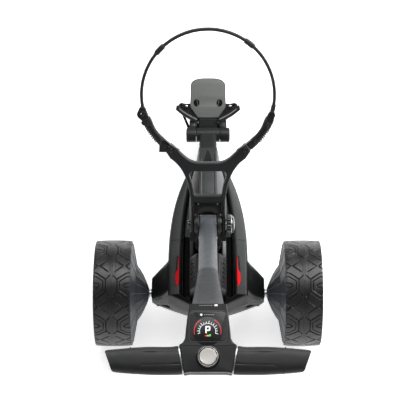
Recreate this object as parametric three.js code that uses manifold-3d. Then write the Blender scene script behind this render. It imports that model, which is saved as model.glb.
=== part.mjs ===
// Electric golf trolley: two driven rear wheels, a teardrop body with a lift-out battery, a folding
// front wheel carrier with the lower bag support, a folding bag yoke, and a folding handle stem.
// Millimetres, +Z up, +Y forward, +X to the user's right. The design is drawn from the rear axle
// line (y = 0) and the ground (z = 0); the last lines centre it on its own box.
import * as THREE from "three";
import { mergeVertices } from "three/addons/utils/BufferGeometryUtils.js";
import Module from "manifold-3d";

const wasm = await Module();
wasm.setup();

// ---------------------------------------------------------------- driving dimensions
const GAP = 0.3; // clearance between neighbouring pieces
const REAR = { radius: 140, width: 95, track: 495, shaft: 8 }; // wheels, and the drive shaft's radius
const RIM = { seat: 112, barrel: 5, spokes: 9, boss: 26, button: 16 };
const TREAD_DEPTH = 12; // the tyres' rubber, over a hollow that the rim closes
const FRONT = { radius: 105, width: 46, y: 490, axle: 5 };
const BODY = { halfWidth: 103, wide: 50, taper: 320, split: 190, wall: 3 };
const CHANNEL = { floor: 0.62, crest: 0.66 }; // shares of the body's half width
const FLOOR_Z = 240; // floor of the channel that the battery and the spine stand in
const TRAY = { front: 125, bottom: 100 };
const HOUSING = { inner: 103.6, outer: 148 };
const BATTERY = { back: -52, front: 40, halfWidth: 47, top: 345 };
const STEM_HINGE = { y: 82, z: 430, pin: 6 };
const STEM = { angle: 128, setBack: 15, halfWidth: 22, halfDepth: 20.5, wall: 3, start: 30, end: 358 };
const HEAD = { y: -405, z: 910, tilt: 4, split: -20, bottom: -38 };
const FRONT_HINGE = { y: 401, z: 270, radius: 19, pin: 5, centre: 31, outer: 57 };
const PLATE = { y: 508, z: 280, tilt: 22, thickness: 6 };
const WING = { pin: 3.5, x: 40, t: -73, low: -5, high: 24, thickness: 12 }; // lower bag arms
const SUPPORT = { angle: 38, ringAt: 326, ring: 161, depth: 22, arm: 22 };
const ARM = { start: -52.5, end: -20, depth: 18 }; // degrees round the ring
const STRAP = { thickness: 7.5, half: 8 };
const GEARS = { module: 2, wheel: 32, pinion: 12, x: 9, width: 10 };
const MOTOR = { radius: 28, y: 30, left: -92, right: -2 };
const BEARING = { outer: 16, width: 11 };
const DISPLAY = { halfWidth: 38, back: 40.5, front: 104 };
const DIAL = { y: 7, outer: 22.6, inner: 18.2, button: 17.6, height: 8 };
const KNOB_START = 45.4;

// ---------------------------------------------------------------- finishes
const finish = (color, roughness, metalness = 0) =>
  new THREE.MeshStandardMaterial({ color, roughness, metalness });
const SHELL = finish(0x3c3f40, 0.45);
const GLOSS = finish(0x141516, 0.2);
const SATIN = finish(0x2b2d2e, 0.5);
const MID_GREY = finish(0x6b6d6b, 0.55);
const PALE_GREY = finish(0x8f9498, 0.45);
const SLATE = finish(0x4a4d52, 0.5);
const RUBBER = finish(0x1c1c1d, 0.8);
const GRAPHITE = finish(0x55595d, 0.3, 0.7);
const STEEL = finish(0xb9bcbf, 0.3, 1);
const RED = finish(0xd81f2a, 0.35);
const GLASS = finish(0x0c0d0e, 0.08);

// ---------------------------------------------------------------- shape helpers
const radians = THREE.MathUtils.degToRad;
const at = (x, y, z) => new THREE.Vector3(x, y, z);
const mix = THREE.MathUtils.lerp;

function signedVolume(geometry) {
  const p = geometry.attributes.position;
  const corner = (i) => new THREE.Vector3().fromBufferAttribute(p, geometry.index.getX(i));
  let total = 0;
  for (let i = 0; i < geometry.index.count; i += 3) {
    total += corner(i).dot(corner(i + 1).cross(corner(i + 2)));
  }
  return total;
}

// The geometry with only shared positions left, and its faces turned outwards.
function closed(geometry) {
  const bare = geometry.clone();
  bare.deleteAttribute("normal");
  bare.deleteAttribute("uv");
  const merged = mergeVertices(bare, 1e-4);
  if (signedVolume(merged) < 0) merged.index.array.reverse();
  return merged;
}

function solid(geometry) {
  const merged = closed(geometry);
  const triVerts = new Uint32Array(merged.index.array);
  const vertProperties = new Float32Array(merged.attributes.position.array);
  return new wasm.Manifold(new wasm.Mesh({ numProp: 3, vertProperties, triVerts }));
}

function geometryOf(body) {
  const made = body.getMesh();
  return new THREE.BufferGeometry()
    .setAttribute("position", new THREE.BufferAttribute(made.vertProperties, 3))
    .setIndex(new THREE.BufferAttribute(made.triVerts, 1));
}

const join = (...parts) => geometryOf(parts.map(solid).reduce((a, b) => a.add(b)));
const cut = (from, ...tools) =>
  geometryOf(tools.map(solid).reduce((a, b) => a.subtract(b), solid(from)));
const common = (a, b) => geometryOf(solid(a).intersect(solid(b)));

// Triangles that fill a flat ring of points, counter-clockwise about the ring's own normal.
function cap(ring) {
  const normal = at(0, 0, 0);
  ring.forEach((p, i) => {
    const q = ring[(i + 1) % ring.length];
    normal.add(p.clone().cross(q));
  });
  normal.normalize();
  const across = ring[1].clone().sub(ring[0]).normalize();
  const up = normal.clone().cross(across);
  const flat = ring.map((p) => new THREE.Vector2(p.dot(across), p.dot(up)));
  return THREE.ShapeUtils.triangulateShape(flat, []);
}

// A closed solid through rings of points, all with the same number of points.
function loft(rings) {
  const count = rings[0].length;
  const index = [];
  for (let s = 0; s + 1 < rings.length; s++) {
    for (let i = 0; i < count; i++) {
      const a = s * count + i;
      const b = s * count + ((i + 1) % count);
      index.push(a, b, b + count, a, b + count, a + count);
    }
  }
  const last = (rings.length - 1) * count;
  cap(rings[0]).forEach(([a, b, c]) => index.push(a, c, b));
  cap(rings[rings.length - 1]).forEach(([a, b, c]) => index.push(last + a, last + b, last + c));
  const corners = rings.flat().flatMap((p) => p.toArray());
  return new THREE.BufferGeometry()
    .setAttribute("position", new THREE.Float32BufferAttribute(corners, 3))
    .setIndex(index);
}

// A solid of revolution about X: the profile is a closed loop of [radius, x].
function turned(profile, segments) {
  const points = profile.map(([r, x]) => new THREE.Vector2(r, x));
  if (profile[0][0] > 0) points.push(points[0].clone());
  return new THREE.LatheGeometry(points, segments).rotateZ(-Math.PI / 2);
}

// A cylinder along X between two x values, centred at (y, z).
function rod(radius, x0, x1, y = 0, z = 0, segments = 20) {
  return new THREE.CylinderGeometry(radius, radius, x1 - x0, segments)
    .rotateZ(Math.PI / 2)
    .translate((x0 + x1) / 2, y, z);
}

// The same along Z, centred at (x, y).
function post(radius, z0, z1, x = 0, y = 0, segments = 16) {
  return new THREE.CylinderGeometry(radius, radius, z1 - z0, segments)
    .rotateX(Math.PI / 2)
    .translate(x, y, (z0 + z1) / 2);
}

function box(x0, x1, y0, y1, z0, z1) {
  const centre = [(x0 + x1) / 2, (y0 + y1) / 2, (z0 + z1) / 2];
  return new THREE.BoxGeometry(x1 - x0, y1 - y0, z1 - z0).translate(...centre);
}

// A shape drawn in XY, made solid between two z values, with an optional chamfer on both faces.
function slab(shape, z0, z1, chamfer = 0, curveSegments = 5) {
  return new THREE.ExtrudeGeometry(shape, {
    depth: z1 - z0 - 2 * chamfer,
    bevelEnabled: chamfer > 0,
    bevelThickness: chamfer,
    bevelSize: chamfer,
    bevelOffset: -chamfer,
    bevelSegments: 1,
    curveSegments,
  }).translate(0, 0, z0 + chamfer);
}

// A profile drawn as (y, z), made solid between two x values.
const profileAlongX = (shape, x0, x1, chamfer = 0, curveSegments = 5) =>
  slab(shape, x0, x1, chamfer, curveSegments).applyMatrix4(
    new THREE.Matrix4().makeBasis(at(0, 1, 0), at(0, 0, 1), at(1, 0, 0)),
  );

const outline = (points) => new THREE.Shape(points.map(([x, y]) => new THREE.Vector2(x, y)));
const mirrored = (half) => [...half, ...half.map(([x, y]) => [-x, y]).reverse()];

function roundedRectangle(x0, x1, y0, y1, r) {
  const shape = new THREE.Shape();
  shape.moveTo(x0 + r, y0);
  shape.lineTo(x1 - r, y0).absarc(x1 - r, y0 + r, r, -Math.PI / 2, 0);
  shape.lineTo(x1, y1 - r).absarc(x1 - r, y1 - r, r, 0, Math.PI / 2);
  shape.lineTo(x0 + r, y1).absarc(x0 + r, y1 - r, r, Math.PI / 2, Math.PI);
  shape.lineTo(x0, y0 + r).absarc(x0 + r, y0 + r, r, Math.PI, 1.5 * Math.PI);
  return shape;
}

// Points of a rounded-square curve, as fractions of the half width and half depth.
function softRing(count, squareness) {
  return Array.from({ length: count }, (_, i) => {
    const a = (2 * Math.PI * (i + 0.5)) / count;
    const soften = (v) => Math.sign(v) * Math.abs(v) ** (2 / squareness);
    return [soften(Math.cos(a)), soften(Math.sin(a))];
  });
}

// A section of the given half width across X, from one (y, z) edge to the other.
const sectionAcross = (halfWidth, front, back, count = 16, squareness = 2.8) =>
  softRing(count, squareness).map(([u, v]) =>
    at(u * halfWidth, mix(front[0], back[0], (1 - v) / 2), mix(front[1], back[1], (1 - v) / 2)),
  );

const trolley = new THREE.Group();

function add(parent, name, geometry, material) {
  const mesh = new THREE.Mesh(closed(geometry), material);
  mesh.name = name;
  parent.add(mesh);
  return mesh;
}

function frameAt(y, z, tilt) {
  const group = new THREE.Group();
  group.position.set(0, y, z);
  group.rotation.x = radians(tilt);
  trolley.add(group);
  return group;
}

// Left is the mirror image of right: each side's pieces are drawn on +X.
function sides(place, build) {
  for (const [side, sign] of [["left", -1], ["right", 1]]) {
    const group = new THREE.Group();
    group.scale.x = sign;
    place.add(group);
    build(group, side);
  }
}

// ---------------------------------------------------------------- body shell and tray
// Half the body's width: a teardrop that narrows forward, with a swept tail.
function bodyHalfWidth(y) {
  if (y > BODY.wide) {
    const along = (y - BODY.wide) / BODY.taper;
    return BODY.halfWidth * (1 - along ** 2.3) ** 0.8;
  }
  const tail = THREE.MathUtils.clamp((-45 - y) / 43, 0, 1);
  return mix(BODY.halfWidth, 18, tail ** 0.9);
}

const shellBottom = (y) => mix(BODY.split, 228, THREE.MathUtils.clamp((y - 200) / 125, 0, 1));

// Channel in the middle, then a raised flat that carries the red insert, then the side wall.
function shellRing(y, inset) {
  const w = bodyHalfWidth(y);
  const half = [
    [0.3 * w, FLOOR_Z - inset],
    [CHANNEL.floor * w + inset, FLOOR_Z - inset],
    [CHANNEL.crest * w + 0.6 * inset, 268 - inset],
    [0.97 * w - inset, 262 - inset],
    [w - inset, 250 - inset],
    [w - inset, shellBottom(y) - 2 * inset],
  ];
  return mirrored(half).map(([x, z]) => at(x, y, z));
}

const TAIL_SWEEP = { start: -41, length: 8, rise: 14 };
const traySweep = (y) =>
  TAIL_SWEEP.rise * THREE.MathUtils.clamp((TAIL_SWEEP.start - y) / TAIL_SWEEP.length, 0, 1);

// The tray's flanks rise towards the tail, and so does its flat bottom, past the gearbox.
function trayRing(y, inset) {
  const w = bodyHalfWidth(y) - inset;
  const rise = THREE.MathUtils.clamp((-30 - y) / 50, 0, 1);
  const half = [
    [w, BODY.split - GAP + 2 * inset],
    [w - 3, mix(140, 176, rise)],
    [0.8 * w, mix(TRAY.bottom + 6, 165, rise ** 0.8) + inset],
    [0.5 * w, TRAY.bottom + traySweep(y) + inset],
  ];
  return mirrored(half).map(([x, z]) => at(x, y, z));
}

const SHELL_STATIONS = [-88, -80, -68, -55, -45, 50, 100, 150, 190, 230, 265, 295];
const TRAY_STATIONS = [-88, -80, -68, -55, -49, -41, -30, 50, 90, TRAY.front];
const cavity = (stations, ring) => {
  const inner = stations.slice(1, -1);
  const ends = [stations[0] + BODY.wall, stations[stations.length - 1] - BODY.wall];
  return loft([ends[0], ...inner, ends[1]].map((y) => ring(y, BODY.wall)));
};

// The front wheel and its fork fold up between the walls, under the backbone.
const wheelWell = box(-30, 30, TRAY.front + 5, 340, 150, 300);
const shaftWay = rod(REAR.shaft + 3, -120, 120, 0, REAR.radius);
add(
  trolley,
  "upper_shell",
  cut(loft(SHELL_STATIONS.map((y) => shellRing(y, 0))), cavity(SHELL_STATIONS, shellRing), wheelWell),
  SHELL,
);
add(
  trolley,
  "lower_tray",
  cut(loft(TRAY_STATIONS.map((y) => trayRing(y, 0))), cavity(TRAY_STATIONS, trayRing), shaftWay),
  SATIN,
);

// Red inserts lie along the raised flats, each a slim blade that widens to the back.
const FLAT_SLOPE = Math.atan2(6, (0.97 - CHANNEL.crest) * BODY.halfWidth);
sides(trolley, (side, name) => {
  const blade = outline([[74, 56], [77, 56], [83, 14], [86, -2], [80, -25], [75.5, -6]]);
  const lie = new THREE.Matrix4().makeRotationY(FLAT_SLOPE);
  const crest = CHANNEL.crest * BODY.halfWidth;
  const piece = slab(blade, 0.4, 2).translate(-crest, 0, 0).applyMatrix4(lie);
  add(side, `${name}_intake_trim`, piece.translate(crest, 0, 268), RED);
});

// ---------------------------------------------------------------- axle housings, bearings, bumper
function housingRing(x, back, front, bottom, top) {
  return softRing(14, 4).map(([u, v]) =>
    at(x, mix(back, front, (1 + u) / 2), mix(bottom, top, (1 + v) / 2)),
  );
}

sides(trolley, (side, name) => {
  const block = loft([
    housingRing(HOUSING.inner, -33, 62, 108, 236),
    housingRing(HOUSING.inner + 12, -30, 58, 108, 218),
    housingRing(HOUSING.outer - 6, -25, 40, 108, 180),
    housingRing(HOUSING.outer, -22, 34, 114, 174),
  ]);
  const bore = rod(REAR.shaft + 0.6, 90, 160, 0, REAR.radius);
  const pocketStart = HOUSING.outer - BEARING.width - 1;
  const pocket = rod(BEARING.outer + GAP, pocketStart, 160, 0, REAR.radius);
  add(side, `${name}_axle_housing`, cut(block, bore, pocket), GLOSS);
  const ring = cut(
    rod(BEARING.outer, pocketStart + GAP, HOUSING.outer - 1, 0, REAR.radius),
    rod(REAR.shaft + 0.6, 90, 160, 0, REAR.radius),
  );
  add(side, `${name}_axle_bearing`, ring, STEEL);
});

// A grey bumper strip bends round under the tail and runs out to the ends of both housings.
const BUMPER = { back: -62, bend: 47, bottom: 90, depth: 9, clearance: 1 };
const bumperRing = (x) => {
  const across = Math.abs(x);
  const share = (from, to) => THREE.MathUtils.clamp((across - from) / (to - from), 0, 1);
  const back = BUMPER.back + BUMPER.bend * (across / HOUSING.outer) ** 1.35;
  const front = back + BUMPER.depth;
  const underTray = TRAY.bottom + traySweep(front) - BUMPER.clearance;
  const underHousing = TRAY.bottom - BUMPER.clearance + 8.3 * share(57, 77);
  const backTop = 113.4 - 5.2 * share(90, 135);
  return [
    at(x, back + 2, BUMPER.bottom),
    at(x, front, BUMPER.bottom),
    at(x, front, Math.max(underTray, underHousing)),
    at(x, back, backTop),
  ];
};
const BUMPER_HALF = [12, 24, 36, 46, 56, 65, 75, 90, 100, 112, 125, 135, 148];
const BUMPER_X = [...BUMPER_HALF.map((x) => -x).reverse(), 0, ...BUMPER_HALF];
add(trolley, "rear_bumper", loft(BUMPER_X.map(bumperRing)), MID_GREY);

// ---------------------------------------------------------------- backbone, spine cover, hinge bracket
const BACKBONE = { halfWidth: 22.5, halfHeight: 19.5 };
function backbone() {
  const path = new THREE.CatmullRomCurve3(
    [at(0, 46, 300), at(0, 220, 300), at(0, 310, 299), at(0, 350, 289), at(0, 384, 276)],
    false,
    "catmullrom",
    0.3,
  );
  const rings = [0, 0.5, 0.72, 0.8, 0.87, 0.94, 1].map((t) => {
    const centre = path.getPoint(t);
    const along = path.getTangent(t);
    const up = at(0, -along.z, along.y);
    return softRing(14, 5).map(([u, v]) =>
      at(BACKBONE.halfWidth * u, centre.y, centre.z).addScaledVector(up, BACKBONE.halfHeight * v),
    );
  });
  const { y, z, radius, centre, pin } = FRONT_HINGE;
  const barrel = rod(radius, -centre, centre, y, z, 28);
  const trimmed = cut(loft(rings), rod(radius - 4, -60, 60, y, z));
  return cut(join(trimmed, barrel), rod(pin + GAP, -60, 60, y, z));
}
add(trolley, "backbone_tube", backbone(), SATIN);

// The spine cover: a flat top between two sloping faces, open underneath.
const SPINE = [
  { y: 340, top: 322, flat: 24, wide: 28 },
  { y: 300, top: 337, flat: 22, wide: 32 },
  { y: 263, top: 350, flat: 20, wide: 41 },
  { y: 190, top: 360, flat: 22, wide: 48 },
  { y: 137, top: 361, flat: 24, wide: 48 },
];
function spineRing({ y, top, flat, wide }, inset) {
  const low = FLOOR_Z + 0.5 - 2 * inset;
  const half = [
    [flat - inset / 3, top - inset],
    [wide - inset, top - 44 - inset / 2],
    [wide - inset, low],
  ];
  return mirrored(half).map(([x, z]) => at(x, y, z));
}
const spineEnd = (station, past) => ({ ...station, y: station.y + past });
const spineInner = [spineEnd(SPINE[0], 5), ...SPINE.slice(1, -1), spineEnd(SPINE[4], -5)];
const spineSkin = loft(SPINE.map((s) => spineRing(s, 0)));
const spineRoom = loft(spineInner.map((s) => spineRing(s, BODY.wall)));
add(trolley, "spine_cover", cut(spineSkin, spineRoom), MID_GREY);

const BRACKET = { inner: 22.5, outer: 32, back: 58, front: 132, base: 320.2, lip: 408 };
function hingeBracket() {
  const { y, z } = STEM_HINGE;
  const ear = new THREE.Shape();
  ear.moveTo(BRACKET.back, BRACKET.base);
  ear.lineTo(BRACKET.front, BRACKET.base);
  ear.lineTo(BRACKET.front, BRACKET.lip);
  ear.lineTo(y + 24, z - 10);
  ear.absarc(y, z, 24, 0, Math.PI);
  const ears = profileAlongX(ear, -BRACKET.outer, BRACKET.outer);
  const slot = box(-BRACKET.inner, BRACKET.inner, 0, BRACKET.front - 9, 376, 500);
  const above = box(-BRACKET.inner, BRACKET.inner, 0, 200, BRACKET.lip, 500);
  const plan = roundedRectangle(-BRACKET.outer, BRACKET.outer, 20, BRACKET.front, 24);
  const rounded = common(ears, slab(plan, 300, 500));
  return cut(rounded, slot, above, rod(STEM_HINGE.pin + GAP, -60, 60, y, z));
}
add(trolley, "hinge_bracket", hingeBracket(), SATIN);

const pinHead = rod(11, -50, -45, STEM_HINGE.y, STEM_HINGE.z);
const pinShank = rod(STEM_HINGE.pin, -46, 44.6, STEM_HINGE.y, STEM_HINGE.z);
add(trolley, "stem_pivot_pin", join(pinShank, pinHead), STEEL);
const pinEnd = FRONT_HINGE.outer - 2;
const hingePin = rod(FRONT_HINGE.pin, -pinEnd, pinEnd, FRONT_HINGE.y, FRONT_HINGE.z);
add(trolley, "front_hinge_pin", hingePin, STEEL);

// ---------------------------------------------------------------- drive: motor, gears, shaft, electronics
const gearDistance = (GEARS.module * (GEARS.wheel + GEARS.pinion)) / 2;
const motorZ = REAR.radius + Math.sqrt(gearDistance ** 2 - MOTOR.y ** 2);
const meshAngle = Math.atan2(motorZ - REAR.radius, MOTOR.y);

// A spur gear in the YZ plane; one tooth, or one gap, points along the given angle.
function spurGear(teeth, pointing, toothFirst, x0, x1, bore) {
  const pitch = (GEARS.module * teeth) / 2;
  const step = (2 * Math.PI) / teeth;
  const tooth = [[-0.27, -1.25], [-0.11, 0.85], [0.11, 0.85], [0.27, -1.25]];
  const points = [];
  for (let i = 0; i < teeth; i++) {
    const centre = pointing + (i + (toothFirst ? 0 : 0.5)) * step;
    for (const [turn, height] of tooth) {
      const radius = pitch + height * GEARS.module;
      points.push([radius * Math.cos(centre + turn * step), radius * Math.sin(centre + turn * step)]);
    }
  }
  const shape = outline(points);
  if (bore) shape.holes.push(new THREE.Path().absarc(0, 0, bore, 0, 2 * Math.PI));
  return profileAlongX(shape, x0, x1, 0, 16);
}

const gearEnd = GEARS.x + GEARS.width;
const shaftEnd = REAR.track / 2 + 30;
const shaftRod = rod(REAR.shaft, -shaftEnd, shaftEnd, 0, REAR.radius);
add(trolley, "drive_shaft", shaftRod, STEEL);
const bigGear = spurGear(GEARS.wheel, meshAngle, true, GEARS.x, gearEnd, REAR.shaft + GAP);
add(trolley, "drive_gear", bigGear.translate(0, 0, REAR.radius), STEEL);
const smallGear = spurGear(GEARS.pinion, meshAngle + Math.PI, false, GEARS.x, gearEnd, 0);
const rotorShaft = rod(4, MOTOR.right - 6, GEARS.x + 1);
add(trolley, "motor_pinion", join(smallGear, rotorShaft).translate(0, MOTOR.y, motorZ), STEEL);

const motorCan = cut(
  rod(MOTOR.radius, MOTOR.left, MOTOR.right, MOTOR.y, motorZ, 24),
  rod(4.6, MOTOR.right - 8, MOTOR.right + 5, MOTOR.y, motorZ),
);
add(trolley, "motor_case", motorCan, STEEL);

const GEARBOX = { y0: -38, y1: 47, z0: 103.6, z1: 190, wall: 2.5 };
const gearboxWall = (x0, x1, inset) =>
  profileAlongX(
    roundedRectangle(GEARBOX.y0 + inset, GEARBOX.y1 - inset, GEARBOX.z0 + inset, GEARBOX.z1 - inset, 10),
    x0,
    x1,
    0,
    2,
  );
const gearboxTub = cut(
  gearboxWall(GEARS.x - 6, gearEnd + 3, 0),
  gearboxWall(GEARS.x - 3, gearEnd + 10, GEARBOX.wall),
  rod(REAR.shaft + 1, -5, 60, 0, REAR.radius),
  rod(5, -5, 60, MOTOR.y, motorZ),
);
add(trolley, "gearbox_housing", gearboxTub, SATIN);
const gearboxLid = cut(
  gearboxWall(gearEnd + 3 + GAP, gearEnd + 6, 0),
  rod(REAR.shaft + 1, -5, 60, 0, REAR.radius),
);
add(trolley, "gearbox_cover", gearboxLid, SATIN);
add(trolley, "control_unit", box(-45, 45, 66, 114, 108, 176), GLOSS);

// ---------------------------------------------------------------- battery
function batteryRing(y, inset) {
  const half = [
    [30 - inset, BATTERY.top - inset],
    [BATTERY.halfWidth - inset, BATTERY.top - 34],
    [BATTERY.halfWidth - inset, FLOOR_Z + 0.6 + inset],
  ];
  return mirrored(half).map(([x, z]) => at(x, y, z));
}
const batteryBlock = loft([
  batteryRing(BATTERY.back, 5),
  batteryRing(BATTERY.back + 5, 0),
  batteryRing(BATTERY.front - 5, 0),
  batteryRing(BATTERY.front, 5),
]);
const WELL = { halfWidth: 22, back: BATTERY.back + 19, front: BATTERY.front - 30, depth: 14 };
const handleWell = box(
  -WELL.halfWidth, WELL.halfWidth, WELL.back, WELL.front, BATTERY.top - WELL.depth, BATTERY.top + 5,
);
add(trolley, "battery_case", cut(batteryBlock, handleWell), SHELL);
const handle = box(-8, 8, WELL.back + GAP, WELL.front - GAP, BATTERY.top - 6, BATTERY.top);
add(trolley, "battery_handle", handle, RUBBER);

// ---------------------------------------------------------------- rear wheels
// Drawn with +X outward from the wheel's middle plane.
const tyreProfile = (radius, halfWidth, seat) => [
  [seat, -halfWidth + 2],
  [radius - 5, -halfWidth],
  [radius - 1.5, -halfWidth * 0.9],
  [radius, 0],
  [radius - 1.5, halfWidth * 0.9],
  [radius - 5, halfWidth],
  [seat, halfWidth - 2],
  [seat, halfWidth - 10],
  [radius - TREAD_DEPTH, halfWidth - 12],
  [radius - TREAD_DEPTH, -halfWidth + 12],
  [seat, -halfWidth + 10],
];

function rearRim() {
  const seat = RIM.seat - GAP;
  const edge = REAR.width / 2 - 2;
  const inside = seat - RIM.barrel;
  const barrel = turned([[seat, -edge], [seat, edge], [inside, edge], [inside, -edge]], 32);
  const face = rod(seat - 3, 26, 36, 0, 0, 32);
  const boss = rod(RIM.boss, -56, 42, 0, 0, 18);
  const windows = [];
  for (let i = 0; i < RIM.spokes; i++) {
    const window = outline([[9, 36], [30, 97], [0, 103], [-30, 97], [-9, 36]]);
    windows.push(profileAlongX(window, 10, 50).rotateX((2 * Math.PI * i) / RIM.spokes));
  }
  const bore = rod(REAR.shaft + GAP, -80, 33);
  const buttonWell = rod(RIM.button + GAP, 32, 60);
  return cut(join(barrel, face, boss), ...windows, bore, buttonWell);
}

// Inner cover: a convex cone with 18 flat facets, thin walled and open towards the rim.
const CONE = [[133, -48], [74, -59.5], [62, -68], [47, -76.5], [30, -84], [15, -90]];
function hubCone() {
  const shell = [...CONE, [REAR.shaft + 1.6, -90]];
  const inner = [[REAR.shaft + 1.6, -84.5], [45, -72.5], [72, -56.3], [131, -47.8]];
  return turned([...shell, ...inner], 18);
}

sides(trolley, (side, name) => {
  const wheel = new THREE.Group();
  wheel.position.set(REAR.track / 2, 0, REAR.radius);
  side.add(wheel);
  const tread = tyreProfile(REAR.radius, REAR.width / 2, RIM.seat);
  add(wheel, `${name}_tyre`, turned(tread, 32), RUBBER);
  add(wheel, `${name}_rim`, rearRim(), SATIN);
  add(wheel, `${name}_hub_cone`, hubCone(), SLATE);
  const button = join(rod(RIM.button, 36.5, 46, 0, 0, 20), rod(6, 33, 40));
  add(wheel, `${name}_release_button`, button, MID_GREY);
});

// ---------------------------------------------------------------- front carrier and wheel
const axleY = FRONT.y;
const axleZ = FRONT.radius;
const FORK = { inner: 33, outer: 41, top: 13, end: 12 };
function forkLeg(x0, x1) {
  const { y, z } = FRONT_HINGE;
  const along = Math.atan2(axleZ - z, axleY - y);
  const leg = new THREE.Shape();
  leg.absarc(y, z, FORK.top, along + Math.PI / 2, along + 1.5 * Math.PI);
  leg.absarc(axleY, axleZ, FORK.end, along - Math.PI / 2, along + Math.PI / 2);
  return profileAlongX(leg, x0, x1);
}

// Places a geometry drawn in the bag plate's frame (x, up the plate, off the plate) in the trolley's.
const plateFrame = new THREE.Matrix4()
  .makeTranslation(0, PLATE.y, PLATE.z)
  .multiply(new THREE.Matrix4().makeRotationX(radians(PLATE.tilt)));

// Two knuckles, a deck under the bag plate with webs back to the knuckles, and the fork's two legs.
function frontCarrier() {
  const { y, z, radius, centre, outer, pin } = FRONT_HINGE;
  const deckBottom = -16;
  const deckTop = -PLATE.thickness - GAP;
  const knuckleStart = centre + 0.8;
  const knuckle = (x0, x1) => rod(radius + 0.4, x0, x1, y, z, 28);
  const screwHole = (x) => post(WING.pin - GAP, -50, 0, x, WING.t).applyMatrix4(plateFrame);
  const frame = [
    box(34, 48, -103, -85, deckBottom, 18),
    box(-48, -34, -103, -85, deckBottom, 18),
    box(-44, 44, -60, 34, deckBottom, deckTop),
    box(-50, 50, -100, -56, deckBottom, deckTop),
    box(-24, 24, -85, -57.5, -12, 6),
  ].map((g) => g.applyMatrix4(plateFrame));
  const knuckles = [knuckle(knuckleStart, outer), knuckle(-outer, -knuckleStart)];
  const legs = [forkLeg(FORK.inner, FORK.outer), forkLeg(-FORK.outer, -FORK.inner)];
  return cut(
    join(...knuckles, ...frame, ...legs),
    rod(radius + 1.6, -knuckleStart, knuckleStart, y, z, 28),
    rod(pin + GAP, -60, 60, y, z),
    rod(FRONT.axle + GAP, -60, 60, axleY, axleZ),
    screwHole(WING.x),
    screwHole(-WING.x),
  );
}

add(trolley, "front_carrier", frontCarrier(), SATIN);

const plateGroup = frameAt(PLATE.y, PLATE.z, PLATE.tilt);
function bagPlate() {
  const shape = new THREE.Shape();
  shape.moveTo(28, -56);
  shape.lineTo(48.5, -27).lineTo(47, 6).lineTo(47, 26);
  shape.absarc(25, 28, 22, 0, Math.PI / 2);
  shape.quadraticCurveTo(0, 53, -25, 50).absarc(-25, 28, 22, Math.PI / 2, Math.PI);
  shape.lineTo(-47, 6).lineTo(-48.5, -27).lineTo(-28, -56);
  const sockets = [-31, 31].map((x) => post(9, -3, 5, x, -15));
  return cut(slab(shape, -PLATE.thickness, 0, 1.2), ...sockets);
}
add(plateGroup, "bag_base_plate", bagPlate(), MID_GREY);

// Lower bag arms: a curved strip that cradles the bag, on a lug that turns on its screw.
sides(plateGroup, (side, name) => {
  const centreLine = [[31, -63], [48, -54.5], [66, -43.5], [83, -30]];
  const strip = [1, -1].flatMap((edge) => {
    const points = centreLine.map(([x, t], i) => {
      const next = centreLine[Math.min(i + 1, 3)];
      const before = centreLine[Math.max(i - 1, 0)];
      const turn = Math.atan2(next[1] - before[1], next[0] - before[0]);
      const off = (edge * WING.thickness) / 2;
      return [x - off * Math.sin(turn), t + off * Math.cos(turn)];
    });
    return edge > 0 ? points : points.reverse();
  });
  const lug = roundedRectangle(30.5, 49.5, -82.5, -60, 9);
  const low = WING.low + GAP;
  const pieces = join(slab(outline(strip), low, WING.high, 1), slab(lug, low, 6, 1));
  add(side, `${name}_bag_arm`, cut(pieces, post(WING.pin, -30, 30, WING.x, WING.t)), PALE_GREY);
});

const frontAxle = join(
  rod(FRONT.axle, -43, 43, axleY, axleZ, 16),
  rod(8, 41.3, 45, axleY, axleZ, 6),
  rod(8, -45, -41.3, axleY, axleZ, 6),
);
add(trolley, "front_axle", frontAxle, STEEL);

const frontWheel = new THREE.Group();
frontWheel.position.set(0, axleY, axleZ);
trolley.add(frontWheel);
const FRONT_SEAT = 84;
const frontTread = tyreProfile(FRONT.radius, FRONT.width / 2, FRONT_SEAT);
add(frontWheel, "front_tyre", turned(frontTread, 28), RUBBER);
function frontRim() {
  const seat = FRONT_SEAT - GAP;
  const half = FRONT.width / 2 - 2.5;
  const profile = [
    [FRONT.axle + GAP, -28], [13, -28], [18, -12], [74, -8], [78, -half], [seat, -half],
    [seat, half], [78, half], [74, 8], [18, 12], [13, 28], [FRONT.axle + GAP, 28],
  ];
  return turned(profile, 28);
}
add(frontWheel, "front_rim", frontRim(), SATIN);

// ---------------------------------------------------------------- handle stem
const stemGroup = frameAt(STEM_HINGE.y, STEM_HINGE.z, STEM.angle);
function stemKnuckle() {
  const eye = rod(24, -21.5, 21.5, 0, 0, 28);
  const low = STEM.setBack - STEM.halfDepth;
  const arm = box(-20, 20, -4, STEM.start - GAP, low + 1, low + 2 * STEM.halfDepth - 2);
  return cut(join(eye, arm), rod(STEM_HINGE.pin + GAP, -60, 60));
}
add(stemGroup, "stem_knuckle", stemKnuckle(), SATIN);

const tubeRing = (along, inset) =>
  softRing(20, 2.4).map(([u, v]) =>
    at(u * (STEM.halfWidth - inset), along, STEM.setBack + v * (STEM.halfDepth - inset)),
  );
const tubeBetween = (from, to, inset) => loft([tubeRing(from, inset), tubeRing(to, inset)]);
const tubeSkin = tubeBetween(STEM.start, STEM.end, 0);
const tubeRoom = tubeBetween(STEM.start - 5, STEM.end + 5, STEM.wall);
add(stemGroup, "stem_tube", cut(tubeSkin, tubeRoom), GRAPHITE);

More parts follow.
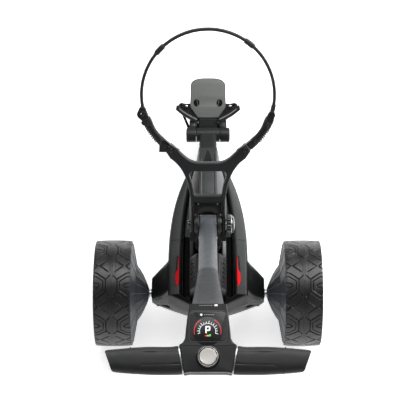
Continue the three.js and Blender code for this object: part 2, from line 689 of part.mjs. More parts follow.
// The neck widens from the tube to the head. Each section runs from its upper to its lower edge.
const alongStem = (distance, depth) => {
  const a = radians(STEM.angle);
  const y = STEM_HINGE.y + distance * Math.cos(a) - depth * Math.sin(a);
  const z = STEM_HINGE.z + distance * Math.sin(a) + depth * Math.cos(a);
  return [y, z];
};
const NECK_END = { top: [-286, 917], bottom: [-319, 871.6] };
const neck = loft([
  sectionAcross(23, alongStem(STEM.end + GAP, -7), alongStem(STEM.end + GAP, 37)),
  sectionAcross(24.5, alongStem(400, -7), alongStem(400, 39)),
  sectionAcross(28.5, alongStem(460, -7), alongStem(460, 42)),
  sectionAcross(33.5, alongStem(535, -5), alongStem(535, 46)),
  sectionAcross(36.5, alongStem(585, -4), alongStem(580, 48)),
  sectionAcross(38, NECK_END.top, NECK_END.bottom),
]);
add(trolley, "neck_cover", neck, SATIN);

// ---------------------------------------------------------------- head, grips, display, dial
const headGroup = frameAt(HEAD.y, HEAD.z, HEAD.tilt);
const headFrame = new THREE.Matrix4()
  .makeTranslation(0, HEAD.y, HEAD.z)
  .multiply(new THREE.Matrix4().makeRotationX(radians(HEAD.tilt)));

// Everything in front of the neck's end face, in the head's frame, is cut away from the head.
function neckSide() {
  const [y0, z0] = NECK_END.top;
  const [y1, z1] = NECK_END.bottom;
  const lean = Math.atan2(z1 - z0, y1 - y0);
  return box(-80, 80, -200, 200, 0, 200)
    .rotateX(lean)
    .translate(0, y0 - 0.4, z0)
    .applyMatrix4(headFrame.clone().invert());
}

const HEAD_HALF = [
  [38, -23], [49.2, -25], [59.6, 34], [52, 38.5], [47.5, 47],
  [45.5, 70], [43, 92], [40, 112], [37, 122],
];
const headOutline = outline(mirrored(HEAD_HALF));
function displayShape(grow) {
  const half = DISPLAY.halfWidth + grow;
  return roundedRectangle(-half, half, DISPLAY.back - grow, DISPLAY.front + grow, 8);
}
const headBlock = slab(headOutline, HEAD.split, 0, 1.5);
const headUpper = cut(headBlock, neckSide(), slab(displayShape(GAP), -3.2, 5));
add(headGroup, "head_upper_case", headUpper, SATIN);
const headLower = cut(slab(headOutline, HEAD.bottom, HEAD.split - GAP, 4), neckSide());
add(headGroup, "head_lower_case", headLower, SATIN);
add(headGroup, "display_screen", slab(displayShape(0), -2.9, -0.3), GLASS);

// The handlebar's cross-sections: front and back edges, and half height, along the bar.
const GRIP = [
  { front: [62.6, 34.2], back: [52.4, -25], half: 17 },
  { front: [80, 32], back: [72, -26], half: 17 },
  { front: [122, 32], back: [115, -26], half: 16 },
  { front: [158, 30], back: [154, -24], half: 15.5 },
  { front: [190, 27], back: [180, -22], half: 15 },
  { front: [207, 25], back: [193, -20.5], half: 13 },
  { front: [212, 21.5], back: [198, -17], half: 8 },
];
const barRing = ({ front, back, half }, grow = 0) =>
  softRing(16, 2.6).map(([u, v]) => {
    const share = (1 + u) / 2;
    const y = mix(back[1], front[1], share) + grow * u;
    return at(mix(back[0], front[0], share), y, -half + (half + grow) * v);
  });
const shiftedBar = (dx) => ({
  front: [GRIP[0].front[0] + dx, GRIP[0].front[1]],
  back: [GRIP[0].back[0] + dx, GRIP[0].back[1]],
  half: GRIP[0].half,
});
sides(headGroup, (side, name) => {
  const trim = loft([barRing(shiftedBar(-2.7), 0.8), barRing(shiftedBar(-GAP), 0.8)]);
  add(side, `${name}_grip`, loft(GRIP.map((g) => barRing(g))), RUBBER);
  add(side, `${name}_trim_ring`, trim, STEEL);
});

const dialPost = (radius, z0, z1) => post(radius, z0, z1, 0, DIAL.y, 24);
const dialRing = cut(dialPost(DIAL.outer, 0.4, DIAL.height), dialPost(DIAL.inner, -1, 20));
add(headGroup, "speed_dial", dialRing, GLOSS);
add(headGroup, "dial_button", dialPost(DIAL.button, 3.4, DIAL.height + 2), STEEL);

// ---------------------------------------------------------------- hinge clamp knob
const knobProfile = [[0, 0], [22, 0], [25, 3], [25, 11], [22, 13], [19, 17], [11, 20], [0, 21]];
const clampKnob = turned(knobProfile, 18).translate(KNOB_START, STEM_HINGE.y, STEM_HINGE.z);
add(trolley, "clamp_knob", clampKnob, GLOSS);

// ---------------------------------------------------------------- upper bag support
// Drawn in its own plane: x across, y up the support from the stem hinge.
const supportGroup = frameAt(STEM_HINGE.y, STEM_HINGE.z, SUPPORT.angle);
const halfDepth = SUPPORT.depth / 2;
const ringPoint = (radius, degrees) => [
  radius * Math.cos(radians(degrees)),
  SUPPORT.ringAt + radius * Math.sin(radians(degrees)),
];
function yoke() {
  const innerEnd = ringPoint(SUPPORT.ring - SUPPORT.arm / 2, ARM.start - 0.4);
  const outerEnd = ringPoint(SUPPORT.ring + SUPPORT.arm / 2, ARM.start - 0.4);
  const shape = new THREE.Shape();
  shape.moveTo(33.5, -38).lineTo(44, -38).lineTo(43, 60);
  shape.bezierCurveTo(45, 100, 56, 146, 92, 170);
  shape.lineTo(...outerEnd).lineTo(...innerEnd);
  shape.bezierCurveTo(64, 186, 52, 160, 22, 160);
  shape.lineTo(-22, 160);
  shape.bezierCurveTo(-52, 160, -64, 186, -innerEnd[0], innerEnd[1]);
  shape.lineTo(-outerEnd[0], outerEnd[1]).lineTo(-92, 170);
  shape.bezierCurveTo(-56, 146, -45, 100, -43, 60);
  shape.lineTo(-44, -38).lineTo(-33.5, -38).lineTo(-33.5, 58).lineTo(33.5, 58);
  shape.holes.push(outline(mirrored([[33, 77], [38, 105], [46, 130], [41, 138]])));
  // A thin arched saddle fills the top of the leg opening, over the stem's knuckle.
  const saddle = new THREE.Shape();
  saddle.moveTo(34, 26).lineTo(34, 62).lineTo(-34, 62).lineTo(-34, 26).lineTo(-22, 26);
  saddle.quadraticCurveTo(0, 38, 22, 26);
  const bore = rod(STEM_HINGE.pin + GAP, -60, 60);
  return cut(join(slab(shape, -halfDepth, halfDepth, 3, 4), slab(saddle, -7, 0)), bore);
}
add(supportGroup, "yoke", yoke(), SATIN);

function ringSector(radius, width, from, to, z0, z1, chamfer, steps) {
  const shape = new THREE.Shape();
  shape.absarc(0, SUPPORT.ringAt, radius + width / 2, radians(from), radians(to), false);
  shape.absarc(0, SUPPORT.ringAt, radius - width / 2, radians(to), radians(from), true);
  return slab(shape, z0, z1, chamfer, steps);
}
sides(supportGroup, (side, name) => {
  const half = ARM.depth / 2;
  const arm = ringSector(SUPPORT.ring, SUPPORT.arm, ARM.start, ARM.end, -half, half, 2.5, 5);
  add(side, `${name}_support_arm`, arm, SATIN);
});

// Moulded rubber strap: a flat band that closes the ring between the two arms.
const strapFrom = ARM.end + 0.2;
const { thickness, half: strapHalf } = STRAP;
const strap = ringSector(SUPPORT.ring, thickness, strapFrom, 180 - strapFrom, -strapHalf, strapHalf, 0, 24);
add(supportGroup, "bag_strap", strap, RUBBER);

// ---------------------------------------------------------------- place it on its own box
trolley.updateMatrixWorld(true);
const extent = new THREE.Box3().setFromObject(trolley, true);
const middle = extent.getCenter(new THREE.Vector3());
trolley.position.set(-middle.x, -middle.y, -extent.min.z);

export default trolley;
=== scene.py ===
# Electric golf trolley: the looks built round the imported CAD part. Metres, Z up, the part's frame.
import functools
import math

import bmesh
import bpy
import numpy as np
from mathutils import Matrix, Vector


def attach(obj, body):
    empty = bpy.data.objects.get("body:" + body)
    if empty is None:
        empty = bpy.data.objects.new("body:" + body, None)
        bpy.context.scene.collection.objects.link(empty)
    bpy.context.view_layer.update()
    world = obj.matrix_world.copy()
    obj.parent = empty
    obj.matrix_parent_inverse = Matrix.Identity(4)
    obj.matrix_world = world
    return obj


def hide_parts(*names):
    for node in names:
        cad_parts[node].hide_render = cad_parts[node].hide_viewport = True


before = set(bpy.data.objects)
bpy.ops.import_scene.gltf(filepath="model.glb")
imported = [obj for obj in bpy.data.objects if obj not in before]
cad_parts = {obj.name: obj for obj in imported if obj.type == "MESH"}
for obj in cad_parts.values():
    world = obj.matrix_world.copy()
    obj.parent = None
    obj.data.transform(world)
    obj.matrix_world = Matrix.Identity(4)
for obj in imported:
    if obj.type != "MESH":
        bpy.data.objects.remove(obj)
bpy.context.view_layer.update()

MM = 0.001
WELD = 2e-6  # metres
SHARP_FROM = 34  # degrees between two faces that still look rounded
AXLE_SHIFT = 82.582767  # from the rear axle line, where the drawings start, to the frame's y = 0
SIDES = (("left", -1), ("right", 1))

# Driving dimensions in millimetres. A place on the middle plane is (y, z).
AXLE_HEIGHT = 140
WHEEL_X = 247.5
WHEEL_HALF = 47.5
FRONT_AXLE = (490.0, 105.0)
FRONT_HALF = 23
STEM_HINGE = (82, 430)
FRONT_HINGE = (401, 270)
STEM_TILT = 128
SUPPORT_TILT = 38
BODY_HALF = 103
TAIL_HALF = 18
RING_T, RING_R = 326.0, 161.0  # the strap ring's centre along the support, and its radius


# ------------------------------------------------------------------ places
def place_at(y, z, tilt=0.0):
    """Millimetres drawn at a point (0, y, z) of the trolley, tilted about X, to metres in the frame."""
    move = Matrix.Translation((0, (y - AXLE_SHIFT) * MM, z * MM))
    return move @ Matrix.Rotation(math.radians(tilt), 4, "X") @ Matrix.Scale(MM, 4)


def moved(place, x=0.0, y=0.0, z=0.0):
    """The same place, shifted along its own axes."""
    return place @ Matrix.Translation((x, y, z))


def mirrored_if(sign):
    """Turns a drawing of the right side into the left one where sign is -1."""
    return Matrix.Diagonal((sign, 1, 1, 1))


# Turns a drawing in (y, z), raised along its third axis, so that it is raised along X.
SIDEWAYS = Matrix(((0, 0, 1, 0), (1, 0, 0, 0), (0, 1, 0, 0), (0, 0, 0, 1)))
# Turns a drawing in (x, z), so that it is raised along Y.
FACING = Matrix(((1, 0, 0, 0), (0, 0, 1, 0), (0, 1, 0, 0), (0, 0, 0, 1)))
OUTWARD = Matrix.Rotation(math.pi / 2, 4, "Y")  # points a screw's axis along +X
UPRIGHT = Matrix.Rotation(-math.pi / 2, 4, "Y")  # points a lathe's axis, X, along +Z
PLAIN = place_at(0, 0)
AXLE = place_at(0, AXLE_HEIGHT)
STEM = place_at(*STEM_HINGE, STEM_TILT)
HEAD = place_at(-405, 910, 4)
PLATE = place_at(508, 280, 22)
SUPPORT = place_at(*STEM_HINGE, SUPPORT_TILT)
HINGE = place_at(*STEM_HINGE)
BARREL = place_at(*FRONT_HINGE)


# ------------------------------------------------------------------ shapes: (points, faces)
def fillet(points, radius, steps=4, closed=True):
    """A 2-D outline with its corners rounded. radius is one number or one for each corner."""
    count = len(points)
    out = []
    for i, p in enumerate(points):
        r = radius[i] if hasattr(radius, "__len__") else radius
        corner = Vector(p)
        if r <= 0 or (not closed and i in (0, count - 1)):
            out.append(tuple(corner))
            continue
        back = Vector(points[i - 1]) - corner
        on = Vector(points[(i + 1) % count]) - corner
        room = 0.49 * min(back.length, on.length)
        back.normalize()
        on.normalize()
        half = math.acos(max(-1.0, min(1.0, back.dot(on)))) / 2
        if half > math.pi / 2 - 0.01:
            out.extend([tuple(corner)] * (steps + 1))
            continue
        reach = min(r / math.tan(half), room)
        centre = corner + (back + on).normalized() * (reach / math.cos(half))
        first = corner + back * reach - centre
        last = corner + on * reach - centre
        start = math.atan2(first.y, first.x)
        turn = math.atan2(last.y, last.x) - start
        turn = (turn + math.pi) % (2 * math.pi) - math.pi
        for k in range(steps + 1):
            a = start + turn * k / steps
            out.append((centre.x + first.length * math.cos(a), centre.y + first.length * math.sin(a)))
    return out


def mirrored(half):
    """A symmetrical outline from its +X half, drawn from bottom to top."""
    return list(half) + [(-x, y) for x, y in reversed(half)]


def share_of(value, start, end):
    """How far a value lies on the way from start to end, held between 0 and 1."""
    return min(max((value - start) / (end - start), 0), 1)


def rounded_box(x0, x1, y0, y1, r, steps=5):
    """A rectangle with corners of radius r."""
    return fillet([(x0, y0), (x1, y0), (x1, y1), (x0, y1)], r, steps)


def circle(radius, count=32, cx=0.0, cy=0.0):
    return [
        (cx + radius * math.cos(2 * math.pi * i / count), cy + radius * math.sin(2 * math.pi * i / count))
        for i in range(count)
    ]


def arc(across, up, first, last, count, cx=0.0, cy=0.0):
    """Points along an arc of an ellipse with those half axes, angles in degrees."""
    angles = np.radians(np.linspace(first, last, count))
    return [(cx + across * math.cos(a), cy + up * math.sin(a)) for a in angles]


def ellipse(across, up, cx=0.0, cy=0.0, count=32):
    return arc(across, up, 0, 360, count + 1, cx, cy)[:-1]


def arc_band(radius, width, first, last, count=48):
    """A flat band along an arc, angles in degrees."""
    outer, inner = radius + width / 2, radius - width / 2
    return arc(outer, outer, first, last, count) + arc(inner, inner, last, first, count)


def turned(loop, angle):
    """A 2-D outline turned about the origin."""
    c, s = math.cos(angle), math.sin(angle)
    return [(x * c - y * s, x * s + y * c) for x, y in loop]


def stroke(points, width):
    """The outline of a line of that width through 2-D points."""
    left, right = [], []
    for i, p in enumerate(points):
        a, b = Vector(points[max(i - 1, 0)]), Vector(points[min(i + 1, len(points) - 1)])
        w = width[i] if hasattr(width, "__len__") else width
        along = (b - a).normalized()
        off = Vector((-along.y, along.x)) * w / 2
        left.append(tuple(Vector(p) + off))
        right.append(tuple(Vector(p) - off))
    return left + right[::-1]


def smooth_line(points, per=8):
    """Catmull-Rom points through the given ones, of any dimension."""
    pts = [np.array(p, float) for p in points]
    pts = [2 * pts[0] - pts[1], *pts, 2 * pts[-1] - pts[-2]]
    out = []
    for i in range(1, len(pts) - 2):
        a, b, c, d = pts[i - 1 : i + 3]
        for k in range(per):
            t = k / per
            out.append(
                0.5 * (
                    2 * b + (c - a) * t + (
                        2 * a - 5 * b + 4 * c - d
                    ) * t * t + (3 * b - a - 3 * c + d) * t**3
                )
            )
    out.append(pts[-2])
    return [tuple(float(v) for v in p) for p in out]


def loft(rings, ends=True, around=True, rejoin=False):
    """A skin over rings of points; rejoin joins the last ring to the first instead of capping them."""
    count = len(rings[0])
    points = [tuple(p) for ring in rings for p in ring]
    faces = []
    for s in range(len(rings) if rejoin else len(rings) - 1):
        t = (s + 1) % len(rings)
        for i in range(count if around else count - 1):
            j = (i + 1) % count
            faces.append((s * count + i, s * count + j, t * count + j, t * count + i))
    if ends and not rejoin:
        faces.append(tuple(range(count)))
        faces.append(tuple(range((len(rings) - 1) * count, len(rings) * count)))
    return points, faces


def lathe(profile, segments=48, closed=True):
    """Turned about X. The profile is (radius, x), or a function that gives one for each angle."""
    rings = []
    for i in range(segments):
        a = 2 * math.pi * i / segments
        line = profile(a) if callable(profile) else profile
        rings.append([(x, r * math.sin(a), r * math.cos(a)) for r, x in line])
    return loft(rings, around=closed, rejoin=True)


def rod(radius, x0, x1, edge=0.6, segments=40):
    """A solid cylinder along X with rounded ends."""
    profile = fillet([(0, x0), (radius, x0), (radius, x1), (0, x1)], [0, edge, edge, 0], 4)
    return lathe(profile, segments, closed=False)


def ring_of(outer, inner, x0, x1, edge=0.5, segments=48):
    """A tube along X with rounded rims."""
    return lathe(fillet([(inner, x0), (outer, x0), (outer, x1), (inner, x1)], edge, 3), segments)


def plate(loops, z0, z1, edge=0.0, rounds=2):
    """Outlines, the first outside and the rest holes, made solid from z0 to z1 with rounded edges."""
    curve = bpy.data.curves.new("outline", "CURVE")
    curve.dimensions = "2D"
    curve.fill_mode = "BOTH"
    for loop in loops:
        spline = curve.splines.new("POLY")
        spline.points.add(len(loop) - 1)
        for point, (x, y) in zip(spline.points, loop):
            point.co = (x, y, 0, 1)
        spline.use_cyclic_u = True
    curve.extrude = (z1 - z0) / 2 - edge
    curve.bevel_depth = edge
    curve.bevel_resolution = rounds
    curve.offset = -edge
    holder = bpy.data.objects.new("outline", curve)
    bpy.context.scene.collection.objects.link(holder)
    view = bpy.context.evaluated_depsgraph_get()
    mesh = bpy.data.meshes.new_from_object(holder.evaluated_get(view))
    middle = (z0 + z1) / 2
    points = [(v.co.x, v.co.y, v.co.z + middle) for v in mesh.vertices]
    faces = [tuple(p.vertices) for p in mesh.polygons]
    bpy.data.objects.remove(holder)
    bpy.data.curves.remove(curve)
    bpy.data.meshes.remove(mesh)
    return points, faces


def sweep(points, section):
    """A 2-D section carried along 3-D points."""
    path = [Vector(p) for p in points]
    side = None
    rings = []
    for i, p in enumerate(path):
        along = (path[min(i + 1, len(path) - 1)] - path[max(i - 1, 0)]).normalized()
        if side is None:
            side = along.cross(Vector((0, 0, 1)))
            if side.length < 1e-3:
                side = Vector((1, 0, 0))
        side = (side - along * side.dot(along)).normalized()
        up = side.cross(along).normalized()
        rings.append([tuple(p + side * u + up * v) for u, v in section])
    return loft(rings)


def together(*shapes):
    """Several shapes as one."""
    points, faces = [], []
    for more_points, more_faces in shapes:
        start = len(points)
        points.extend(more_points)
        faces.extend(tuple(i + start for i in f) for f in more_faces)
    return points, faces


def soft_ring(count, squareness, phase=0.5):
    """A rounded square of half size 1."""
    out = []
    for i in range(count):
        a = 2 * math.pi * (i + phase) / count
        c, s = math.cos(a), math.sin(a)
        out.append(
            (math.copysign(abs(c) ** (2 / squareness), c), math.copysign(abs(s) ** (2 / squareness), s))
        )
    return out


# ------------------------------------------------------------------ finishes
class Shader:
    """A Principled material with its texture nodes, which work in the object's own coordinates."""

    def __init__(self, name):
        self.material = bpy.data.materials.new(name)
        self.material.use_nodes = True
        self.tree = self.material.node_tree
        self.base = self.tree.nodes["Principled BSDF"]
        self.coordinates = self.add("ShaderNodeTexCoord").outputs["Object"]

    def add(self, kind, **settings):
        node = self.tree.nodes.new(kind)
        for key, value in settings.items():
            setattr(node, key, value)
        return node

    def join(self, output, node, key):
        self.tree.links.new(output, node.inputs[key])

    def noise(self, scale, detail=3.0, stretch=None):
        node = self.add("ShaderNodeTexNoise")
        node.inputs["Scale"].default_value = scale
        node.inputs["Detail"].default_value = detail
        node.inputs["Roughness"].default_value = 0.55
        source = self.coordinates
        if stretch:
            mapping = self.add("ShaderNodeMapping")
            mapping.inputs["Scale"].default_value = stretch
            self.join(source, mapping, "Vector")
            source = mapping.outputs["Vector"]
        self.join(source, node, "Vector")
        return node.outputs["Fac"]

    def cells(self, scale):
        node = self.add("ShaderNodeTexVoronoi")
        node.inputs["Scale"].default_value = scale
        self.join(self.coordinates, node, "Vector")
        return node.outputs["Distance"]

    def ramp(self, value, low, high, start=0.3, end=0.7):
        node = self.add("ShaderNodeMapRange")
        node.inputs["From Min"].default_value = start
        node.inputs["From Max"].default_value = end
        node.inputs["To Min"].default_value = low
        node.inputs["To Max"].default_value = high
        self.join(value, node, "Value")
        return node.outputs["Result"]

    def tones(self, value, dark, light, start=0.3, end=0.7):
        node = self.add("ShaderNodeValToRGB")
        node.color_ramp.elements[0].position = start
        node.color_ramp.elements[0].color = (*dark, 1)
        node.color_ramp.elements[1].position = end
        node.color_ramp.elements[1].color = (*light, 1)
        self.join(value, node, "Fac")
        self.join(node.outputs["Color"], self.base, "Base Color")

    def bump(self, value, height, strength=1.0):
        node = self.add("ShaderNodeBump")
        node.inputs["Distance"].default_value = height
        node.inputs["Strength"].default_value = strength
        self.join(value, node, "Height")
        if self.base.inputs["Normal"].links:
            self.join(self.base.inputs["Normal"].links[0].from_socket, node, "Normal")
        self.join(node.outputs["Normal"], self.base, "Normal")


def scaled(colour, k):
    """A colour made k times as light."""
    return tuple(min(1.0, c * k) for c in colour)


def plastic(name, colour, roughness, relief=0.00006, spread=0.1, coat=0.0, specular=0.5):
    """Moulded or painted plastic: spread is how far its tone wanders, relief its grain's height."""
    shader = Shader(name)
    shader.tones(shader.noise(18, 4), scaled(colour, 1 - spread), scaled(colour, 1 + spread))
    rough = shader.ramp(shader.noise(70, 3), roughness - 0.05, roughness + 0.06)
    shader.join(rough, shader.base, "Roughness")
    shader.base.inputs["Specular IOR Level"].default_value = specular
    shader.base.inputs["Coat Weight"].default_value = coat
    shader.base.inputs["Coat Roughness"].default_value = 0.08
    if relief:
        shader.bump(shader.noise(1400, 2), relief, 0.5)
    return shader.material


def shade_fading_plastic(name, dark, light, start, end, roughness, specular):
    """Plastic with painted shade that darkens it towards the back, between two places along the frame's Y in
    metres.
    """
    material = plastic(name, light, roughness, specular=specular)
    tree = material.node_tree
    base = tree.nodes["Principled BSDF"]
    coordinates = tree.nodes.new("ShaderNodeTexCoord")
    split = tree.nodes.new("ShaderNodeSeparateXYZ")
    share = tree.nodes.new("ShaderNodeMapRange")
    share.interpolation_type = "SMOOTHSTEP"
    share.inputs["From Min"].default_value = start
    share.inputs["From Max"].default_value = end
    blend = tree.nodes.new("ShaderNodeMix")
    blend.data_type = "RGBA"
    blend.inputs["A"].default_value = (*dark, 1)
    tree.links.new(coordinates.outputs["Object"], split.inputs["Vector"])
    tree.links.new(split.outputs["Y"], share.inputs["Value"])
    tree.links.new(share.outputs["Result"], blend.inputs["Factor"])
    tree.links.new(base.inputs["Base Color"].links[0].from_socket, blend.inputs["B"])
    tree.links.new(blend.outputs["Result"], base.inputs["Base Color"])
    return material


def metal(name, colour, roughness, stretch, scale=60, relief=0.00002, spread=0.12):
    """Brushed or turned metal: fine lines along the direction with the smallest stretch."""
    shader = Shader(name)
    lines = shader.noise(scale, 4, stretch)
    shader.tones(lines, scaled(colour, 1 - spread), scaled(colour, 1 + spread))
    shader.join(shader.ramp(lines, roughness - 0.06, roughness + 0.08), shader.base, "Roughness")
    shader.base.inputs["Metallic"].default_value = 1.0
    shader.bump(lines, relief, 0.35)
    return shader.material


def rubber(name, colour, roughness, grain, relief, specular=0.4):
    """Rubber with a pitted surface of that many grains to the metre."""
    shader = Shader(name)
    shader.tones(shader.noise(30, 5), scaled(colour, 0.84), scaled(colour, 1.16))
    shader.join(
        shader.ramp(shader.noise(45, 4), roughness - 0.08, roughness + 0.08), shader.base, "Roughness",
    )
    shader.base.inputs["Specular IOR Level"].default_value = specular
    shader.bump(shader.cells(grain), relief, 0.5)
    return shader.material


def glow(name, colour, strength):
    """A printed or lit mark on the display."""
    shader = Shader(name)
    shader.tones(shader.noise(400, 2), scaled(colour, 0.9), colour)
    shader.base.inputs["Roughness"].default_value = 0.4
    shader.base.inputs["Emission Color"].default_value = (*colour, 1)
    shader.base.inputs["Emission Strength"].default_value = strength
    return shader.material


CHARCOAL = (0.026, 0.028, 0.0284)
NEAR_BLACK = (0.006, 0.0063, 0.0066)
FINISH = {
    "shell": plastic("shell_charcoal", CHARCOAL, 0.4, specular=0.3),
    "gloss_black": plastic(
        "gloss_black", (0.004, 0.004, 0.0045), 0.16, relief=0.00001, coat=0.3, specular=0.5,
    ),
    "satin_black": plastic("satin_black", (0.0115, 0.012, 0.0127), 0.42, specular=0.28),
    "mid_grey": plastic("mid_grey", (0.115, 0.12, 0.115), 0.5, spread=0.07),
    "pale_grey": plastic("pale_grey", (0.2, 0.21, 0.215), 0.42, spread=0.07),
    # near-black that is painted shade: on the tail, the channel, the nose webs and the left spine flank
    "tail_black": plastic("tail_black", (0.0042, 0.0044, 0.0046), 0.34, relief=0.00001, specular=0.1),
    "neck": plastic(
        "neck_charcoal", (0.03, 0.031, 0.0325), 0.55, relief=0.000004, spread=0.025, specular=0.14,
    ),
    "slate": plastic("slate", (0.04, 0.044, 0.052), 0.44, spread=0.09),
    "rubber": rubber("soft_rubber", (0.0085, 0.0088, 0.0088), 0.5, 2600, 0.00004),
    "tyre": rubber("tyre_rubber", (0.006, 0.006, 0.006), 0.36, 1500, 0.00006, specular=0.6),
    "graphite": plastic(
        "graphite_paint", (0.062, 0.067, 0.073), 0.46, relief=0.000004, spread=0.025, specular=0.16,
    ),
    "steel": metal("brushed_steel", (0.62, 0.62, 0.61), 0.26, (6, 60, 60), 60),
    "red": plastic("intake_red", (0.66, 0.003, 0.007), 0.5, relief=0.00001, spread=0.05, specular=0.08),
    "screen_glass": plastic(
        "display_glass", (0.018, 0.0185, 0.019), 0.3, relief=0.0, spread=0.12, coat=0.12, specular=0.3,
    ),
}
WHITE_MARK = glow("mark_white", (0.85, 0.86, 0.86), 0.35)
RED_MARK = glow("mark_red", (0.65, 0.02, 0.035), 0.35)
ORANGE_MARK = glow("mark_orange", (0.85, 0.3, 0.02), 0.5)
GREEN_MARK = glow("mark_green", (0.04, 0.62, 0.08), 0.5)
GREY_MARK = plastic("mark_grey", (0.3, 0.31, 0.31), 0.5)
SPUN = metal("spun_nickel", (0.52, 0.505, 0.475), 0.42, (3, 90, 90), 30, 0.000001, 0.02)
DARK = plastic("recess_black", (0.002, 0.002, 0.0021), 0.55, specular=0.25)
EDGE_GREY = plastic("edge_grey", (0.04, 0.041, 0.041), 0.5)
FLANK_HIGHLIGHT_GREY = plastic("flank_grey", (0.085, 0.09, 0.094), 0.45, spread=0.06, specular=0.3)
HOUSING_BLACK = plastic("housing_black", NEAR_BLACK, 0.36, relief=0.00001, specular=0.25)


# ------------------------------------------------------------------ pieces
def set_down(shape, place):
    """A shape's points and faces at a place, welded and turned outwards."""
    points, faces = shape
    work = bmesh.new()
    corners = [work.verts.new(place @ Vector(p)) for p in points]
    for face in faces:
        try:
            work.faces.new([corners[i] for i in dict.fromkeys(face)])
        except ValueError:
            continue  # shrunk to an edge, or made already
    bmesh.ops.remove_doubles(work, verts=work.verts, dist=WELD)
    bmesh.ops.dissolve_degenerate(work, edges=work.edges, dist=WELD / 2)
    bmesh.ops.recalc_face_normals(work, faces=work.faces)
    return work


def as_mesh(work, name):
    """The bmesh as a mesh of that name; the bmesh is freed."""
    mesh = bpy.data.meshes.new(name)
    work.to_mesh(mesh)
    work.free()
    return mesh


def shade_smooth(mesh, sharp_from):
    """Smooth shading, except over edges sharper than that many degrees."""
    mesh.polygons.foreach_set("use_smooth", [True] * len(mesh.polygons))
    mesh.set_sharp_from_angle(angle=math.radians(sharp_from))


def piece(
    body, name, shape, place, slot="satin_black", finish=None, smooth=SHARP_FROM, edge=0, rounds=3,
    replaces=(), after=None,
):
    """One mesh that rides on a body, with its sharp edges rounded by edge millimetres."""
    work = set_down(shape, place)
    if after:
        after(work)
    if edge:
        sharp = [e for e in work.edges if len(e.link_faces) == 2 and e.calc_face_angle(0) > math.radians(30)]
        bmesh.ops.bevel(
            work, geom=sharp, offset=edge * MM, offset_type="OFFSET", segments=rounds,
            profile=0.5, affect="EDGES", clamp_overlap=True,
        )
    return settle(body, name, as_mesh(work, name), slot, finish, smooth, replaces)


def settle(body, name, mesh, slot, finish, smooth, replaces):
    """Gives a mesh its finish, slot and body."""
    shade_smooth(mesh, smooth)
    mesh.materials.clear()
    mesh.materials.append(finish or FINISH[slot])
    obj = bpy.data.objects.new(name, mesh)
    bpy.context.scene.collection.objects.link(obj)
    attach(obj, body)
    if replaces:
        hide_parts(*replaces)
    return obj


def carve(obj, *tools):
    """Cuts shapes, given as (shape, place), out of a piece."""
    for shape, place in tools:
        mesh = as_mesh(set_down(shape, place), "tool")
        tool = bpy.data.objects.new("tool", mesh)
        bpy.context.scene.collection.objects.link(tool)
        cut = obj.modifiers.new("cut", "BOOLEAN")
        cut.operation = "DIFFERENCE"
        cut.solver = "EXACT"
        cut.object = tool
        bpy.context.view_layer.update()
        view = bpy.context.evaluated_depsgraph_get()
        made = bpy.data.meshes.new_from_object(obj.evaluated_get(view))
        obj.modifiers.clear()
        old = obj.data
        name = old.name
        obj.data = made
        bpy.data.meshes.remove(old)
        made.name = name
        bpy.data.objects.remove(tool)
        bpy.data.meshes.remove(mesh)
    shade_smooth(obj.data, SHARP_FROM)


def screw(body, name, place, radius, slot="steel", height=1.6):
    """A button-head screw with a six-sided socket, its axis along the place's +Z."""
    head = [(0, 0), (radius, 0), (radius, height * 0.45), (radius * 0.55, height), (0, height)]
    rounded = fillet(head, [0, 0.3, 0.4, 0.4, 0], 3)
    made = piece(body, name, lathe(rounded, 28, closed=False), place @ UPRIGHT, slot)
    carve(made, (plate([circle(radius * 0.48, 6)], height * 0.35, height + 2), place))


on_chassis = functools.partial(piece, "chassis")
on_stem = functools.partial(piece, "stem")
on_support = functools.partial(piece, "bag_support")
on_battery = functools.partial(piece, "battery")
on_carrier = functools.partial(piece, "front_carrier")


# ------------------------------------------------------------------ body shell, tray, housings, bumper
def body_half_width(y):
    """Half the width of the body's outline seen from above."""
    if y > 50:
        return BODY_HALF * (1 - ((y - 50) / 320) ** 2.3) ** 0.8
    return BODY_HALF + (TAIL_HALF - BODY_HALF) * share_of(y, -45, -88) ** 0.9


def shell_bottom(y):
    """Height of the line where the shell meets the tray."""
    return 190 + 38 * share_of(y, 200, 325)


CHANNEL_FLOOR, RIM_HEIGHT, CREST_HEIGHT = 240, 262, 268
SHELL_WALL = 3
WELL_EDGE = 30
CREST_SHARE, RIM_SHARE = 0.66, 0.97  # where the raised flat starts and ends, as shares of the half width


def shell_half(y, inset):
    """From the channel in the middle, over the raised flat, down the side wall."""
    w = body_half_width(y)
    soften = min(1.0, w / 60)
    line = [
        (0.3 * w, CHANNEL_FLOOR - inset),
        (0.62 * w + inset, CHANNEL_FLOOR - inset),
        (CREST_SHARE * w + 0.6 * inset, CREST_HEIGHT - inset),
        (RIM_SHARE * w - inset, RIM_HEIGHT - inset),
        (w - inset, 250 - inset),
        (w - inset, shell_bottom(y)),
    ]
    return fillet(line, [0, 3.5 * soften, 9 * soften, 7 * soften, 9 * soften, 0], 7, closed=False)


def shell_section(y, filled=False):
    """The shell all round, 3 mm thick; the tail's end is filled."""
    outer = shell_half(y, 0)
    inner = [(x, shell_bottom(y) + 0.1 if filled else z) for x, z in shell_half(y, SHELL_WALL)]
    over = [(-x, z) for x, z in reversed(outer)] + outer
    under = inner[::-1] + [(-x, z) for x, z in inner]
    return [(x, y, z) for x, z in over + under]


def half_section(y, sign):
    """One side of the shell, clear of the front wheel's well in the middle."""
    outer = [(max(x, WELL_EDGE), z) for x, z in shell_half(y, 0)]
    inner = [(max(x, WELL_EDGE), z) for x, z in shell_half(y, SHELL_WALL)]
    return [(sign * x, y, z) for x, z in outer + inner[::-1]]


